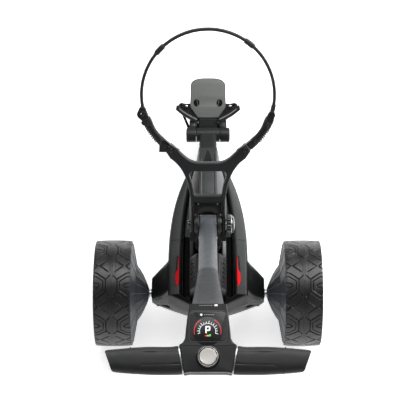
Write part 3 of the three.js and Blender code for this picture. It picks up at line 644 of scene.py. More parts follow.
SEAM = 103.0  # y of the joint between the rear and the front shells
# The tail in near-black: painted shade that carries on the rear shell's darkening towards the back.
tail_y = [-88, -87, -84, -80, -74, -68, -60, -52, -45.3]
tail = loft([shell_section(y, filled=i == 0) for i, y in enumerate(tail_y)])
on_chassis("shell_tail", tail, PLAIN, "gloss_black", FINISH["tail_black"])
rear_y = [-44.9, *np.arange(-40, SEAM - 3, 6), SEAM - 0.5]
rear = loft([shell_section(y) for y in rear_y])
# The rear shell's paint fades from charcoal to near-black towards the back: painted shade.
shell_shade_paint = shade_fading_plastic("shade_faded_shell", NEAR_BLACK, CHARCOAL, -0.13, 0.02, 0.4, 0.28)
shell = on_chassis("shell_rear", rear, PLAIN, "shell", shell_shade_paint, replaces=["upper_shell"])


def channel_section(y):
    """A near-black sheet over the channel's floor and walls, which is painted shade."""
    w = body_half_width(y)
    foot, top = 0.62 * w - 0.4, 0.645 * w - 0.6
    line = [(foot, 240.1), (top, 258), (top - 1, 258), (foot - 2.5, 241.6), (foot - 4, 240.9)]
    return [(x, y, z) for x, z in mirrored(line)]


# The channel's near-black sheet is painted shade.
shade_sheet = loft([channel_section(y) for y in [*range(-44, 50, 6), 50, 60, 75, 90, 105, 120]])
on_chassis("channel_lining", shade_sheet, PLAIN, "satin_black", FINISH["tail_black"])
front_y = [SEAM + 0.5, *np.arange(SEAM + 5, 293, 6), 295]
for side, sign in SIDES:
    on_chassis(f"shell_front_{side}", loft([half_section(y, sign) for y in front_y]), PLAIN, "shell")
    # The tongue under the seam, seen as a fine dark line between the two shells.
    inner = [
        [(sign * (abs(x) - 1.2), y, z - 1.2) for x, y, z in half_section(y, 1)] for y in (SEAM - 4, SEAM + 4)
    ]
    on_chassis(f"shell_seam_{side}", loft(inner), PLAIN, "shell", DARK)

# Air intakes: a slot in each flat, black towards the front, with a red blade that widens to the back.
FLAT_LEAN = math.atan2(CREST_HEIGHT - RIM_HEIGHT, (RIM_SHARE - CREST_SHARE) * BODY_HALF)


def on_flat(sign):
    """A place on a flat of the shell: x outwards from its inner crest, y forward, z off the surface."""
    crest = moved(PLAIN @ mirrored_if(sign), CREST_SHARE * BODY_HALF, 0, CREST_HEIGHT)
    return crest @ Matrix.Rotation(FLAT_LEAN, 4, "Y")


slot_line = fillet(
    [(6.7, 58), (13, 59), (15.2, 20), (17, -6), (16.2, -14), (8.6, -27), (6.2, -8), (5.8, 20)], 2.2, 4,
)
blade_line = fillet(
    [(7.1, 57), (8.6, 57), (9.2, 24), (15.4, 12), (16.4, -6), (15.4, -13), (8.8, -26), (6.8, -8), (6.3, 20)],
    0.8, 3,
)
for side, sign in SIDES:
    carve(shell, (plate([slot_line], -2.6, 8), on_flat(sign)))
    on_chassis(f"intake_floor_{side}", plate([slot_line], -2.7, -2.2), on_flat(sign), "gloss_black", DARK)
    on_chassis(
        f"intake_blade_{side}", plate([blade_line], -2.2, 0.9, 0.5), on_flat(sign), "red",
        replaces=[f"{side}_intake_trim"],
    )
    for k in range(4):
        rib = stroke([(9.6, 50 - 7 * k), (13.2 + 0.3 * k, 46 - 7 * k)], 0.9)
        on_chassis(f"intake_rib_{side}_{k}", plate([rib], -2.3, -0.9, 0.2, 1), on_flat(sign), "gloss_black")


def tray_sweep(y):
    """How far the tray's underside rises towards the tail."""
    return 14 * share_of(y, -41, -49)


def tray_section(y, inset):
    """The tray under the shell: a flat floor with rounded bilges."""
    w = body_half_width(y) - inset
    rise = share_of(y, -30, -80)
    floor = (0.5 * w, 100 + tray_sweep(y) + inset)
    line = [floor, (0.8 * w, 106 + 59 * rise**0.8 + inset), (w - 3, 140 + 36 * rise), (w, 189.7)]
    half = fillet(line, [0, 6, 10, 0], 5, closed=False)
    return [(x, y, z) for x, z in mirrored(half)]


tray_y = [-88, -86, -80, -74, -68, -60, -52, -45, -40, -35, *np.arange(-30, 122, 8), 123, 125]
tray = on_chassis("tray", loft([tray_section(y, 0) for y in tray_y]), PLAIN, replaces=["lower_tray"])
carve(
    tray,
    (loft([tray_section(y, 3) for y in (-84, -68, -49, -41, -30, 50, 90, 122)]), moved(PLAIN, z=0.5)),
    (rod(11, -130, 130), AXLE),
)
for k, y in enumerate((-30, -10, 10, 30, 50)):
    for side, sign in SIDES:
        vent = fillet([(14, y - 2.5), (38, y - 2.5), (38, y + 2.5), (14, y + 2.5)], 2.4, 4)
        on_chassis(
            f"tray_vent_{side}_{k}", plate([vent], 98.8, 100.6, 0.4), PLAIN @ mirrored_if(sign),
            "gloss_black", DARK,
        )
for k, (x, y) in enumerate(((-34, -38), (34, -38), (-44, 98), (44, 98))):
    down = moved(PLAIN, x, y, 100.2) @ Matrix.Rotation(math.pi, 4, "X")
    screw("chassis", f"tray_screw_{k}", down, 4.2)


# Housing sections as (x, back, front, low, high).
HOUSING = np.array([
    (103.6, -33, 62, 108, 236),
    (115.6, -30, 58, 108, 218),
    (142, -25, 40, 108, 180),
    (148, -22, 34, 114, 174),
])
HOUSING_ROOT, HOUSING_END = HOUSING[0, 0], HOUSING[-1, 0]
HOUSING_SQUARENESS = 4.4


def housing_edges(x):
    """Back, front, low and high of the axle housing at x."""
    return [float(np.interp(x, HOUSING[:, 0], HOUSING[:, k])) for k in range(1, 5)]


def housing_section(x):
    """A rounded square across the axle housing."""
    back, front, low, high = housing_edges(x)
    return [
        (x, back + (front - back) * (1 + u) / 2, low + (high - low) * (1 + v) / 2)
        for u, v in soft_ring(56, HOUSING_SQUARENESS)
    ]


def housing_top(x, y):
    """Height of the housing's upper surface above a point."""
    ring = np.array(housing_section(max(x, HOUSING_ROOT)))
    _, back, low = ring.min(axis=0)
    _, front, high = ring.max(axis=0)
    across = min(abs(2 * (y - back) / (front - back) - 1), 0.999)
    return low + (high - low) * (1 + (1 - across**HOUSING_SQUARENESS) ** (1 / HOUSING_SQUARENESS)) / 2


SHOULDER_START = 97.5


def shoulder_section(y):
    """A fairing that sweeps from the shell's edge down onto the housing."""
    reach = float(np.interp(y, (-31, -27, 40, 56, 61), (104.5, 139, 139, 114, 105)))
    drop = 261.2 - housing_top(HOUSING_ROOT, y)
    over = []
    for t in np.linspace(0, 1, 18):
        x = SHOULDER_START + (reach - SHOULDER_START) * t
        over.append((x, y, housing_top(x, y) + 0.4 + (drop - 0.4) * (1 - t) ** 2.1))
    under = [(x, y, z - 4 * (1 - k / 17) - 0.8) for k, (x, _, z) in enumerate(over)]
    return over + under[::-1]


shoulder_y = [-31, -29, -27, -22, -16, *range(-10, 40, 6), 40, 44, 48, 52, 56, 59, 61]
BUMPER_DEPTH = 9
bumper_x = np.linspace(-147.5, 147.5, 60)


def bumper_section(x):
    """A bowed strip under the tail; it shrinks over its last 6 mm at each end."""
    reach = abs(x)
    back = -62 + 47 * (reach / HOUSING_END) ** 1.35
    shrink = 2 * share_of(reach, 142, HOUSING_END)
    under_tray = 99 + tray_sweep(back + BUMPER_DEPTH)
    under_housing = float(np.interp(reach, (57, 77), (99, 107.3)))
    front_top = max(under_tray, under_housing) - shrink
    back_top = float(np.interp(reach, (90, 135), (113.4, 108.2))) - shrink
    bottom, front = 90 + shrink, BUMPER_DEPTH - shrink
    line = [(2 + shrink, bottom), (front, bottom), (front, front_top), (shrink, back_top)]
    return [(x, back + y, z) for y, z in fillet(line, 1.6, 4)]


on_chassis(
    "bumper", loft([bumper_section(x) for x in bumper_x]), PLAIN, "mid_grey", replaces=["rear_bumper"],
)
for side, sign in SIDES:
    at_side = PLAIN @ mirrored_if(sign)
    xs = [103.6, 104.4, 106, 110, 115.6, 122, 129, 136, 142, 144.5, 146.2, 147.4, 148]
    rings = [housing_section(x) for x in xs]
    rings[-1] = [(148, y + (4 - y) * 0.03, z + (142 - z) * 0.03) for x, y, z in rings[-2]]
    housing = on_chassis(
        f"axle_housing_{side}", loft(rings), at_side, "gloss_black", HOUSING_BLACK, smooth=50,
        replaces=[f"{side}_axle_housing", f"{side}_axle_bearing"],
    )
    carve(housing, (rod(17, 141, 160, 0.2), AXLE @ mirrored_if(sign)))
    mount = plate([rounded_box(108, 138, -23, -10, 3)], 96, 116, 1, 2)
    on_chassis(f"bumper_mount_{side}", mount, at_side)
    hub = AXLE @ mirrored_if(sign)
    on_chassis(f"bearing_outer_{side}", ring_of(16.8, 13, 141.2, 147, 0.6), hub, "steel")
    on_chassis(f"bearing_shield_{side}", ring_of(13.2, 9.6, 141.4, 146, 0.4), hub, "gloss_black", DARK)
    on_chassis(f"bearing_inner_{side}", ring_of(9.8, 8.3, 141.2, 147.2, 0.3), hub, "steel")
    on_chassis(
        f"shoulder_{side}", loft([shoulder_section(y) for y in shoulder_y]), at_side, "gloss_black",
        HOUSING_BLACK, smooth=60,
    )

# ------------------------------------------------------------------ backbone, spine, hinge bracket
# Spine sections as (y, top, half width of the flat, half width of the foot).
SPINE = np.array([
    (137, 361, 24, 48),
    (190, 360, 22, 48),
    (230, 356, 20.8, 45),
    (263, 350, 20, 41),
    (300, 337, 22, 32),
    (330, 325.5, 23.2, 29),
    (340, 322, 24, 28),
])
SPINE_SLOPE = 44  # height of the sloping face between the flat and the foot


def spine_at(y):
    """Top, half width of the flat and half width of the foot at y."""
    return [float(np.interp(y, SPINE[:, 0], SPINE[:, k])) for k in (1, 2, 3)]


def spine_section(y, inset=0.0):
    """The spine's cover from foot to foot, over its flat top."""
    top, flat, wide = spine_at(y)
    crest = [(0, top - inset), (flat - inset, top - inset)]
    wall = [(wide - inset, top - SPINE_SLOPE - inset), (wide - inset, 240.5)]
    half = fillet(crest + wall, [0, 3.2, 6, 0], 5, closed=False)
    over = [(-x, z) for x, z in reversed(half)] + half[1:]
    return [(x, y, z) for x, z in over]


spine_y = [137, 138, 140, *np.arange(146, 336, 6), 337, 339, 340]
spine_rings = [spine_section(y) + spine_section(y, 3)[::-1] for y in spine_y]
on_chassis("spine", loft(spine_rings), PLAIN, "shell", replaces=["spine_cover"])
# A near-black web on each side, low beside the spine's nose, fills the gap there; its black is painted
# shade.
for side, sign in SIDES:
    web = fillet([(30, 281), (52, 284), (49.5, 312), (40, 322), (30, 326)], [0, 3, 5, 5, 0], 4)
    on_chassis(
        f"nose_web_{side}", plate([web], 229, 236, 1, 2), PLAIN @ mirrored_if(sign), "shell",
        FINISH["tail_black"],
    )


def spine_band(edges_at, y0, y1, lift, count=30, sunk=0.6, bevel=0.5):
    """A band that lies on the spine's top between two edges, given as a function of y."""
    rings = []
    for y in np.linspace(y0, y1, count):
        top = spine_at(y)[0]
        a, b = edges_at(y)
        foot = [(a, y, top - sunk), (b, y, top - sunk)]
        rings.append(foot + [(b - bevel, y, top + lift), (a + bevel, y, top + lift)])
    return loft(rings)


# Side covers between the channel's walls and the hinge bracket. The right one's mid grey is a painted
# highlight and the left one's black is painted shade.
for side, sign, paint in (("left", -1, "satin_black"), ("right", 1, "mid_grey")):
    rows = [
        (26, 285), (29, 300), (36, 316), (48, 325), (70, 328),
        (100, 329), (128, 328), (134, 326), (136, 318),
    ]
    rings = []
    for y, top in rows:
        line = fillet([(34, 242), (47, 242), (46, top - 8), (35.5, top)], [0, 0, 4, 2.5], 4)
        rings.append([(sign * x, y, z) for x, z in line])
    on_chassis(f"side_cover_{side}", loft(rings), PLAIN, paint, smooth=50)
    tag = fillet([(-1.6, 0), (1.6, -2), (2.2, 12), (-1.2, 9)], 0.6, 3)
    spot = moved(PLAIN, sign * 26.5, 66 + 14 * (sign < 0), 346)
    on_chassis(f"latch_tag_{side}", plate([tag], -1, 1, 0.4), spot, "red")

# Raised middle panel, a black groove to its right, and a paler band beyond its left edge, which is a painted
# highlight.
panel_band = spine_band(lambda y: (-13.5 + (y - 137) * 0.012, 15.5 - (y - 137) * 0.006), 139, 322, 1.2)
on_chassis("spine_panel", panel_band, PLAIN, "shell", edge=0.4, rounds=2)
groove_band = spine_band(lambda y: (16.3, 18.9), 139, 318, 0.25)
on_chassis("spine_groove", groove_band, PLAIN, "gloss_black", DARK)
highlight_band = spine_band(lambda y: (-17.6, -15.6), 139, 300, 0.5)
on_chassis("spine_line", highlight_band, PLAIN, "pale_grey", FINISH["mid_grey"])


def spine_flank(sign, lift=0.9, low=0.1, high=0.93):
    """A band on the spine's sloping face; low and high are shares of the way up."""
    rings = []
    for y in np.linspace(141, 318, 24):
        top, flat, wide = spine_at(y)
        (xa, za), (xb, zb) = [(wide + (flat - wide) * s, top - SPINE_SLOPE * (1 - s)) for s in (low, high)]
        out = Vector((SPINE_SLOPE, wide - flat)).normalized() * lift
        ring = [(xa - 1, za - 0.6), (xa + out.x, za + out.y), (xb + out.x, zb + out.y), (xb - 1, zb - 0.6)]
        rings.append([(sign * x, y, z) for x, z in ring])
    return loft(rings)


# The right flank's paler grey is a painted highlight and the left flank's near-black is painted shade.
for side, sign, slot, paint in (
    ("right", 1, "pale_grey", FLANK_HIGHLIGHT_GREY), ("left", -1, "shell", FINISH["tail_black"]),
):
    on_chassis(f"spine_flank_{side}", spine_flank(sign), PLAIN, slot, paint, edge=0.4, rounds=2)

# Backbone tube out to the front hinge barrel, with a pointed tongue and ribs on its top.
bone_line = smooth_line(
    [(46, 300), (130, 300), (220, 300), (310, 299), (345, 291), (365, 283.5), (386, 275.5)], 8,
)


def bone_section(k, half_width=22.5, half_height=19.5):
    """The backbone's section, square to its line."""
    (y0, z0), (y1, z1) = bone_line[max(k - 1, 0)], bone_line[min(k + 1, len(bone_line) - 1)]
    y, z = bone_line[k]
    along = Vector((y1 - y0, z1 - z0)).normalized()
    return [
        (half_width * u, y - along.y * half_height * v, z + along.x * half_height * v)
        for u, v in soft_ring(44, 5)
    ]


on_chassis(
    "backbone", loft([bone_section(k) for k in range(len(bone_line))]), PLAIN, replaces=["backbone_tube"],
)
barrel_profile = fillet([(5.3, -31), (19, -31), (19, 31), (5.3, 31)], 1.2, 4)
on_chassis("hinge_barrel", lathe(barrel_profile, 64), BARREL)
tongue_rings = []
for y, half in ((292, 12), (300, 10.5), (312, 8.4), (322, 6), (329, 3.6), (334, 1.2)):
    top = spine_at(y)[0]
    tongue_rings.append(
        [(-half, y, top - 1), (half, y, top - 1), (half - 0.8, y, top + 1.4), (-half + 0.8, y, top + 1.4)]
    )
on_chassis("spine_tongue", loft(tongue_rings), PLAIN, "gloss_black", edge=0.5, rounds=2)
for k, x in enumerate((15.5, 19.5)):
    rib = spine_band(lambda y, x=x: (x - 0.8, x + 0.8), 300, 332, 0.9, count=8, sunk=1, bevel=0.3)
    on_chassis(f"spine_rib_{k}", rib, PLAIN, "mid_grey", EDGE_GREY)
for side, sign in SIDES:
    line = smooth_line([(sign * 22.2, 340, 292), (sign * 22.2, 356, 286), (sign * 22.2, 372, 279)], 4)
    on_chassis(f"backbone_rib_{side}", sweep(line, circle(1.1, 10)), PLAIN)

ear = [
    (58, 320.2), (132, 320.2), (132, 396), (125, 403), (110, 406), *arc(24, 24, -12, 180, 34, *STEM_HINGE),
    (58, 428),
]
ear_bore = circle(6.3, 32, *STEM_HINGE)
frame_line = fillet([(63, 328), (128, 328), (128, 392), (112, 399), (63, 400)], 5, 4)
frame_recess = fillet([(66, 332), (124, 332), (122, 396), (100, 402), (66, 400)], 6, 4)
for side, sign in SIDES:
    upright = PLAIN @ mirrored_if(sign) @ SIDEWAYS
    on_chassis(f"hinge_ear_{side}", plate([ear, ear_bore], 22.8, 32, 1.6, 3), upright)
    on_chassis(f"hinge_ear_frame_{side}", plate([frame_line, frame_recess], 31.5, 33.4, 0.6), upright)
    ring = ring_of(22.5, 17, 31.5, 33.4, 0.7)
    on_chassis(f"hinge_ear_ring_{side}", ring, HINGE @ mirrored_if(sign), "gloss_black")
base = rounded_box(-32, 32, 48, 132, 14, 8)
on_chassis("hinge_base", plate([base], 320.4, 344, 2.2, 3), PLAIN, replaces=["hinge_bracket"])
front_wall = fillet([(-32, 320.5), (32, 320.5), (32, 404), (26, 408), (-26, 408), (-32, 404)], 4, 5)
on_chassis("hinge_wall", plate([front_wall], 123.2, 132, 1.6, 3), PLAIN @ FACING)
on_chassis("pivot_pin", rod(6, -44.5, 44.6, 0.8), HINGE, "steel", replaces=["stem_pivot_pin"])
pin_head = on_chassis("pivot_pin_head", rod(11, -50, -44.8, 1.4), HINGE, "gloss_black")
carve(pin_head, (plate([circle(5, 6)], 47.5, 52), HINGE @ mirrored_if(-1) @ SIDEWAYS))
on_chassis("front_pin", rod(5, -55, 55, 0.8), BARREL, "steel", replaces=["front_hinge_pin"])

# ------------------------------------------------------------------ battery
BATTERY_TOP = 345


def battery_section(y, inset):
    """The battery's outline with its chamfered sides."""
    top, wall, foot = BATTERY_TOP - inset, 47 - inset, 240.6 + inset
    line = [(0, top), (30 - inset, top), (wall, 311), (wall, foot), (0, foot)]
    half = fillet(line, [0, 5, 8, 4, 0], 5, closed=False)[1:-1]
    return [(x, y, z) for x, z in [(-x, z) for x, z in reversed(half)] + half]


# Battery sections as (y, inset), drawn in towards both ends.
battery_rows = [
    (-52, 5.5), (-51.2, 3.2), (-50, 1.4), (-48.2, 0.3), (-46, 0), (-20, 0), (10, 0), (32, 0), (35, 0.3),
    (37.5, 1.4), (39.2, 3.4), (40, 6),
]
battery = on_battery(
    "battery_body", loft([battery_section(y, i) for y, i in battery_rows]), PLAIN, replaces=["battery_case"],
)
carve(battery, (plate([rounded_box(-22, 22, -33, 10, 6)], 331, 352), PLAIN))
handle_line = smooth_line([(-32.7, 341), (-24, 342), (-11.5, 342.4), (1, 342), (9.7, 341)], 6)
handle_rings = [[(8 * u, y, z + 3 * v) for u, v in soft_ring(24, 3)] for y, z in handle_line]
on_battery("battery_grip", loft(handle_rings), PLAIN, "rubber", replaces=["battery_handle"])
lid_line = [rounded_box(-26.5, 26.5, -43, 30, 8), rounded_box(-25.5, 25.5, -42, 29, 7)]
on_battery("battery_lid_line", plate(lid_line, 344.4, 345.2, 0.15, 1), PLAIN, "gloss_black", DARK)
for side, sign in SIDES:
    chamfer = Matrix.Rotation(math.atan2(34, 17), 4, "Y")
    lie = moved(PLAIN @ mirrored_if(sign), 30, 0, BATTERY_TOP) @ chamfer
    band = rounded_box(5, 30, -40, 30, 3, 4)
    on_battery(f"battery_side_band_{side}", plate([band], -0.8, 0.9, 0.5), lie)
    for k in range(5):
        rib = rounded_box(8, 27, -38 + 13 * k, -34 + 13 * k, 1.8, 3)
        on_battery(f"battery_side_rib_{side}_{k}", plate([rib], 0.5, 1.5, 0.35), lie, "gloss_black")

# ------------------------------------------------------------------ stem, collar and neck
on_stem("stem_eye", rod(24, -21.5, 21.5, 5, 64), STEM, "graphite", smooth=60, replaces=["stem_knuckle"])


def oval(half_width, half_depth):
    """The stem's rounded outline."""
    return [(half_width * u, half_depth * v) for u, v in soft_ring(72, 2.35)]


# The tube's foot swells forward over the hinge. Rows are (distance up the stem, near face, far face).
foot = [
    (-3, -15, 30), (0, -21, 32), (4, -22.6, 33.6), (12, -20.4, 34.6), (20, -16, 35), (30, -10.4, 35.4),
    (42, -7.4, 35.5), (60, -6, 35.5), (78, -5.5, 35.5),
]
tube_rows = smooth_line(foot, 4) + [(s, -5.5, 35.5) for s in (*range(100, 350, 25), 357.8)]


def tube_section(along, near, far):
    """The stem tube at a distance along it."""
    half_width = min(22.0, 20.6 + 0.05 * max(0.0, along))
    return [(u, along, (near + far) / 2 + v) for u, v in oval(half_width, (far - near) / 2)]


on_stem(
    "stem_tube_skin", loft([tube_section(*row) for row in tube_rows]), STEM, "graphite", smooth=60,
    replaces=["stem_tube"],
)
for k, y in enumerate((64, 340)):
    for side, sign in SIDES:
        spot = moved(STEM @ mirrored_if(sign), 21.7, y, 15) @ OUTWARD
        screw("stem", f"stem_screw_{side}_{k}", spot, 3.4, height=1.2)


STEM_ALONG = Vector((math.cos(math.radians(STEM_TILT)), math.sin(math.radians(STEM_TILT))))


def along_stem(distance, depth):
    """The (y, z) of a point at a distance up the stem and a depth below it."""
    return tuple(Vector(STEM_HINGE) + STEM_ALONG * distance + Vector((-STEM_ALONG.y, STEM_ALONG.x)) * depth)


NECK_TOP, NECK_BOTTOM = (-286, 917), (-319, 871.6)
# Neck sections as (half width, top (y, z), bottom (y, z)), from the tube to the head.
neck_rows = [
    (22.8, along_stem(358.3, -7), along_stem(358.3, 37)),
    (24.5, along_stem(400, -7), along_stem(400, 39)), (28.5, along_stem(460, -7), along_stem(460, 42)),
    (33.5, along_stem(535, -5), along_stem(535, 46)), (36.5, along_stem(585, -4), along_stem(580, 48)),
    (38, NECK_TOP, NECK_BOTTOM),
]
# A cubic runs near the sections and is held at both ends.
neck_table = np.array([(w, *top, *bottom) for w, top, bottom in neck_rows])
neck_share = np.array([0, 0.16, 0.39, 0.67, 0.86, 1])
neck_fits = [np.polyfit(neck_share, column, 3, w=[9, 1, 1, 1, 1, 9]) for column in neck_table.T]
neck_values = [[float(np.polyval(fit, t)) for fit in neck_fits] for t in np.linspace(0, 1, 34)]


def neck_section(row, grow=0.0):
    """The neck's outline, wider by grow millimetres on each side."""
    w, ty, tz, by, bz = row
    return [
        ((w + grow) * u, by + (ty - by) * (1 + v) / 2, bz + (tz - bz) * (1 + v) / 2)
        for u, v in soft_ring(72, 2.9)
    ]


on_stem(
    "neck_skin", loft([neck_section(r) for r in neck_values]), PLAIN, "satin_black", FINISH["neck"],
    smooth=60, replaces=["neck_cover"],
)
neck_collar = [neck_section(neck_values[1], g) for g in (0.2, 0.9, 0.9, 0.2)]
for ring, push in zip(neck_collar, (0, 0.8, 4.2, 5)):
    ring[:] = [(x, y + push * STEM_ALONG.x, z + push * STEM_ALONG.y) for x, y, z in ring]
on_stem("neck_collar", loft(neck_collar), PLAIN)
side_seam = [neck_values[k] for k in range(5, len(neck_values) - 1)]
for side, sign in SIDES:
    line = [(sign * (w - 0.1), (ty + by) / 2, (tz + bz) / 2) for w, ty, tz, by, bz in side_seam]
    on_stem(f"neck_seam_{side}", sweep(line, circle(0.5, 8)), PLAIN, "gloss_black", DARK)

# ------------------------------------------------------------------ head, display, dial
head_half = [
    (38, -23), (49.2, -25), (59.6, 34), (52, 38.5), (47.5, 47), (45.5, 70), (43, 92), (40, 112), (38.4, 126),
]
joint_half = [(38, -23), (49.2, -25), (58.6, 33), (51, 38.5), (46.5, 47), (44.5, 70), (42, 92), (39.4, 106)]
joint_loop = fillet([(x * 0.985, y * 0.985) for x, y in mirrored(joint_half)], 6, 4)
head_loop = fillet(
    mirrored(head_half), [2, 1.5, 3, 9, 14, 20, 20, 20, 0, 0, 20, 20, 20, 14, 9, 3, 1.5, 2], 5,
)
lean = math.atan2(NECK_BOTTOM[1] - NECK_TOP[1], NECK_BOTTOM[0] - NECK_TOP[0])


def beyond_neck(work):
    """Cuts the head off flat at the neck's end."""
    origin = PLAIN @ Vector((0, NECK_TOP[0] - 0.4, NECK_TOP[1]))
    normal = Vector((0, math.sin(-lean), math.cos(lean)))
    if normal.y < 0:
        normal = -normal
    everything = work.verts[:] + work.edges[:] + work.faces[:]
    bmesh.ops.bisect_plane(work, geom=everything, plane_co=origin, plane_no=normal, clear_outer=True)
    bmesh.ops.holes_fill(work, edges=[e for e in work.edges if e.is_boundary], sides=0)


head_top = on_stem(
    "head_top", plate([head_loop], -20, 0, 3.2, 4), HEAD, replaces=["head_upper_case"], after=beyond_neck,
)
carve(head_top, (plate([rounded_box(-38.2, 38.2, 40.3, 104.2, 8.2)], -2.4, 6), HEAD))
on_stem(
    "head_bottom", plate([head_loop], -38, -20.4, 5.5, 4), HEAD, replaces=["head_lower_case"],
    after=beyond_neck,
)
on_stem("head_joint", plate([joint_loop], -22, -18, 0.5), HEAD, "gloss_black", DARK)
# Fine seam across the bar between the head and the display's frame.
cross_line = [(x, 31.2 + 2.2 * (x / 56) ** 2, 0.05) for x in np.linspace(-56, 56, 30)]
on_stem("head_cross_seam", sweep(cross_line, circle(0.55, 8)), HEAD, "gloss_black", DARK)
on_stem(
    "screen", plate([rounded_box(-37.9, 37.9, 40.6, 103.9, 7.9, 8)], -2.3, -0.1, 0.6, 3), HEAD,
    "screen_glass", replaces=["display_screen"],
)
# A paler field in the screen's far corner, cut off along a slanting line.
pale_field = plastic("display_field", (0.026, 0.0265, 0.027), 0.3, relief=0.0, coat=0.1, specular=0.3)
field_loop = fillet([(-33, 103), (37, 103), (37, 41.5), (20, 41.5)], [1, 6, 6, 1], 5)
on_stem("screen_field", plate([field_loop], -0.16, -0.04, 0.02, 1), HEAD, "screen_glass", pale_field)
rim = [rounded_box(-39.6, 39.6, 38.9, 105.6, 9.2, 8), rounded_box(-38.4, 38.4, 40.1, 104.4, 8.3, 8)]
on_stem("screen_rim", plate(rim, -0.6, 0.3, 0.2, 2), HEAD, "mid_grey", EDGE_GREY)
GAUGE = moved(HEAD, -0.8, 61.5, -0.05)
gauge_black = plastic("gauge_black", (0.009, 0.0092, 0.0096), 0.3, relief=0.0, coat=0.1, specular=0.3)
on_stem("gauge_dark", plate([circle(30.6, 72)], -0.08, 0.06, 0.02, 1), GAUGE, "screen_glass", gauge_black)


def printed(name, loops, paint, height=0.16, edge=0.04, place=GAUGE):
    """A thin mark that lies on the display."""
    on_stem(name, plate(loops, 0, height, edge, 1), place, "screen_glass", paint)


printed("gauge_arc_left", [arc_band(27.6, 1.3, 120, 194)], RED_MARK, 0.18, 0.05)
printed("gauge_arc_right", [arc_band(27.6, 1.3, -14, 60)], RED_MARK, 0.18, 0.05)
printed("gauge_scale", [arc_band(16.6, 0.8, -16, 196, count=64)], WHITE_MARK)
for k, angle in enumerate(np.linspace(-14, 194, 14)):
    a = math.radians(angle)
    far = 20.6 if k % 3 else 22.2
    tick = stroke([(17.4 * math.cos(a), 17.4 * math.sin(a)), (far * math.cos(a), far * math.sin(a))], 1.1)
    printed(f"gauge_tick_{k:02d}", [tick], WHITE_MARK)
letter = fillet(
    [(-5.2, -7.2), (-2.4, -7.2), (-2.4, -2.2), (5.2, -2.2), (5.2, 8.2), (-5.2, 8.2)],
    [0.4, 0.4, 0.4, 2.6, 2.6, 1.8], 4,
)
bowl = fillet([(-2.4, 0.6), (2.4, 0.6), (2.4, 5.4), (-2.4, 5.4)], 1.0, 3)
printed("gauge_letter", [letter, bowl], WHITE_MARK, 0.2, 0.05, moved(GAUGE, 0.4, 3.0))
levels = ((-6.2, -2.6, 1.4, RED_MARK), (-2.2, 1.8, 2.4, ORANGE_MARK), (2.2, 6.6, 3.6, GREEN_MARK))
for k, (x0, x1, h, mark) in enumerate(levels):
    cell = fillet([(x0, -10.6), (x1, -10.6), (x1, -10.6 + h + 1.0), (x0, -10.6 + h)], 0.4, 3)
    printed(f"gauge_level_{k}", [cell], mark, 0.18, 0.05)
printed("screen_dot", [circle(2.3, 24, -14, 96.6)], WHITE_MARK, place=HEAD)
for k in range(5):
    dash = rounded_box(-8.5 + 4.4 * k, -5.3 + 4.4 * k, 96.0, 97.4, 0.5, 3)
    printed(f"screen_dash_{k}", [dash], GREY_MARK, 0.14, place=HEAD)
for k in range(9):
    dash = rounded_box(-18 + 3.1 * k, -15.8 + 3.1 * k, 115.8, 117.0, 0.4, 3)
    on_stem(f"neck_dash_{k}", plate([dash], -0.6, 0.3, 0.05, 1), HEAD, "mid_grey", GREY_MARK)
pill = rounded_box(13, 20, 114.8, 118.4, 1.7, 5)
on_stem("neck_pill", plate([pill], -0.6, 0.35, 0.05, 1), HEAD, "mid_grey", WHITE_MARK)

DIAL = moved(HEAD, 0, 7) @ Matrix.Rotation(-math.pi / 2, 4, "Y")  # x runs up, off the head
KNURLS = 30


def bezel_profile(angle):
    """The dial's knurled outside."""
    wave = abs(math.sin(angle * KNURLS / 2)) ** 0.7
    outside = [
        (22.2 + 0.4 * wave, 1.2), (21.8 + 0.8 * wave, 2), (21.6 + 0.9 * wave, 5.6), (21.3 + 0.6 * wave, 6.8),
    ]
    return [(18.3, 0.6), (21.9, 0.5), *outside, (20.6, 7.7), (19.6, 8), (18.7, 7.7), (18.3, 7)]


piece(
    "speed_dial", "dial_bezel", lathe(bezel_profile, KNURLS * 8), DIAL, "gloss_black",
    replaces=["speed_dial"],
)
piece(
    "speed_dial", "dial_bright_ring", ring_of(20.6, 19.5, 7.4, 8.3, 0.3, 72), DIAL, "steel", FINISH["steel"],
)
cap = [
    (0, 3.4), (17.5, 3.4), (17.5, 9.4), (16.8, 10.2), (15.8, 10.3), (15.2, 9.9), (14.6, 9.95), (6, 9.7),
    (0, 9.65),
]
cap_line = fillet(cap, [0, 0.2, 0.5, 0.3, 0.3, 0.3, 0.3, 2, 0], 3, closed=False)
piece(
    "dial_button", "dial_cap", lathe(cap_line, 96, closed=False), DIAL, "steel", SPUN,
    replaces=["dial_button"],
)
well = [(0, -0.4), (24.8, -0.4), (24.8, 0.25), (23.2, 0.38), (0, 0.3)]
well_line = fillet(well, [0, 0.2, 0.2, 0.1, 0], 3, closed=False)
on_stem("dial_well", lathe(well_line, 72, closed=False), DIAL, "gloss_black")

# ------------------------------------------------------------------ handlebar grips
# Grip sections as (x and y of the front edge, x and y of the back edge, half height).
grip_rows = [
    (62.6, 34.2, 52.4, -25, 17), (80, 32, 72, -26, 17), (122, 32, 115, -26, 16),
    (158, 30, 154, -24, 15.5), (190, 27, 180, -22, 15), (205, 25.3, 192.5, -20.8, 13.6),
    (210, 23.8, 196.5, -19.6, 11.2), (212.4, 21, 198.6, -17.5, 7.5),
]
grip_values = smooth_line(grip_rows, 14)


def panel_lines(x):
    """How far across the bar the soft panel's two edges lie, -1 at the back and 1 at the front."""
    t = share_of(x, 62, 158)
    upper = 0.5 + 0.06 * t + 0.44 * share_of(t, 0.72, 1) ** 2.2
    lower = -0.34 - 0.06 * t - 0.60 * share_of(t, 0.68, 1) ** 2.2
    return upper, lower


GROOVE_HALF, GROOVE_DEPTH = 1.1, 1.25


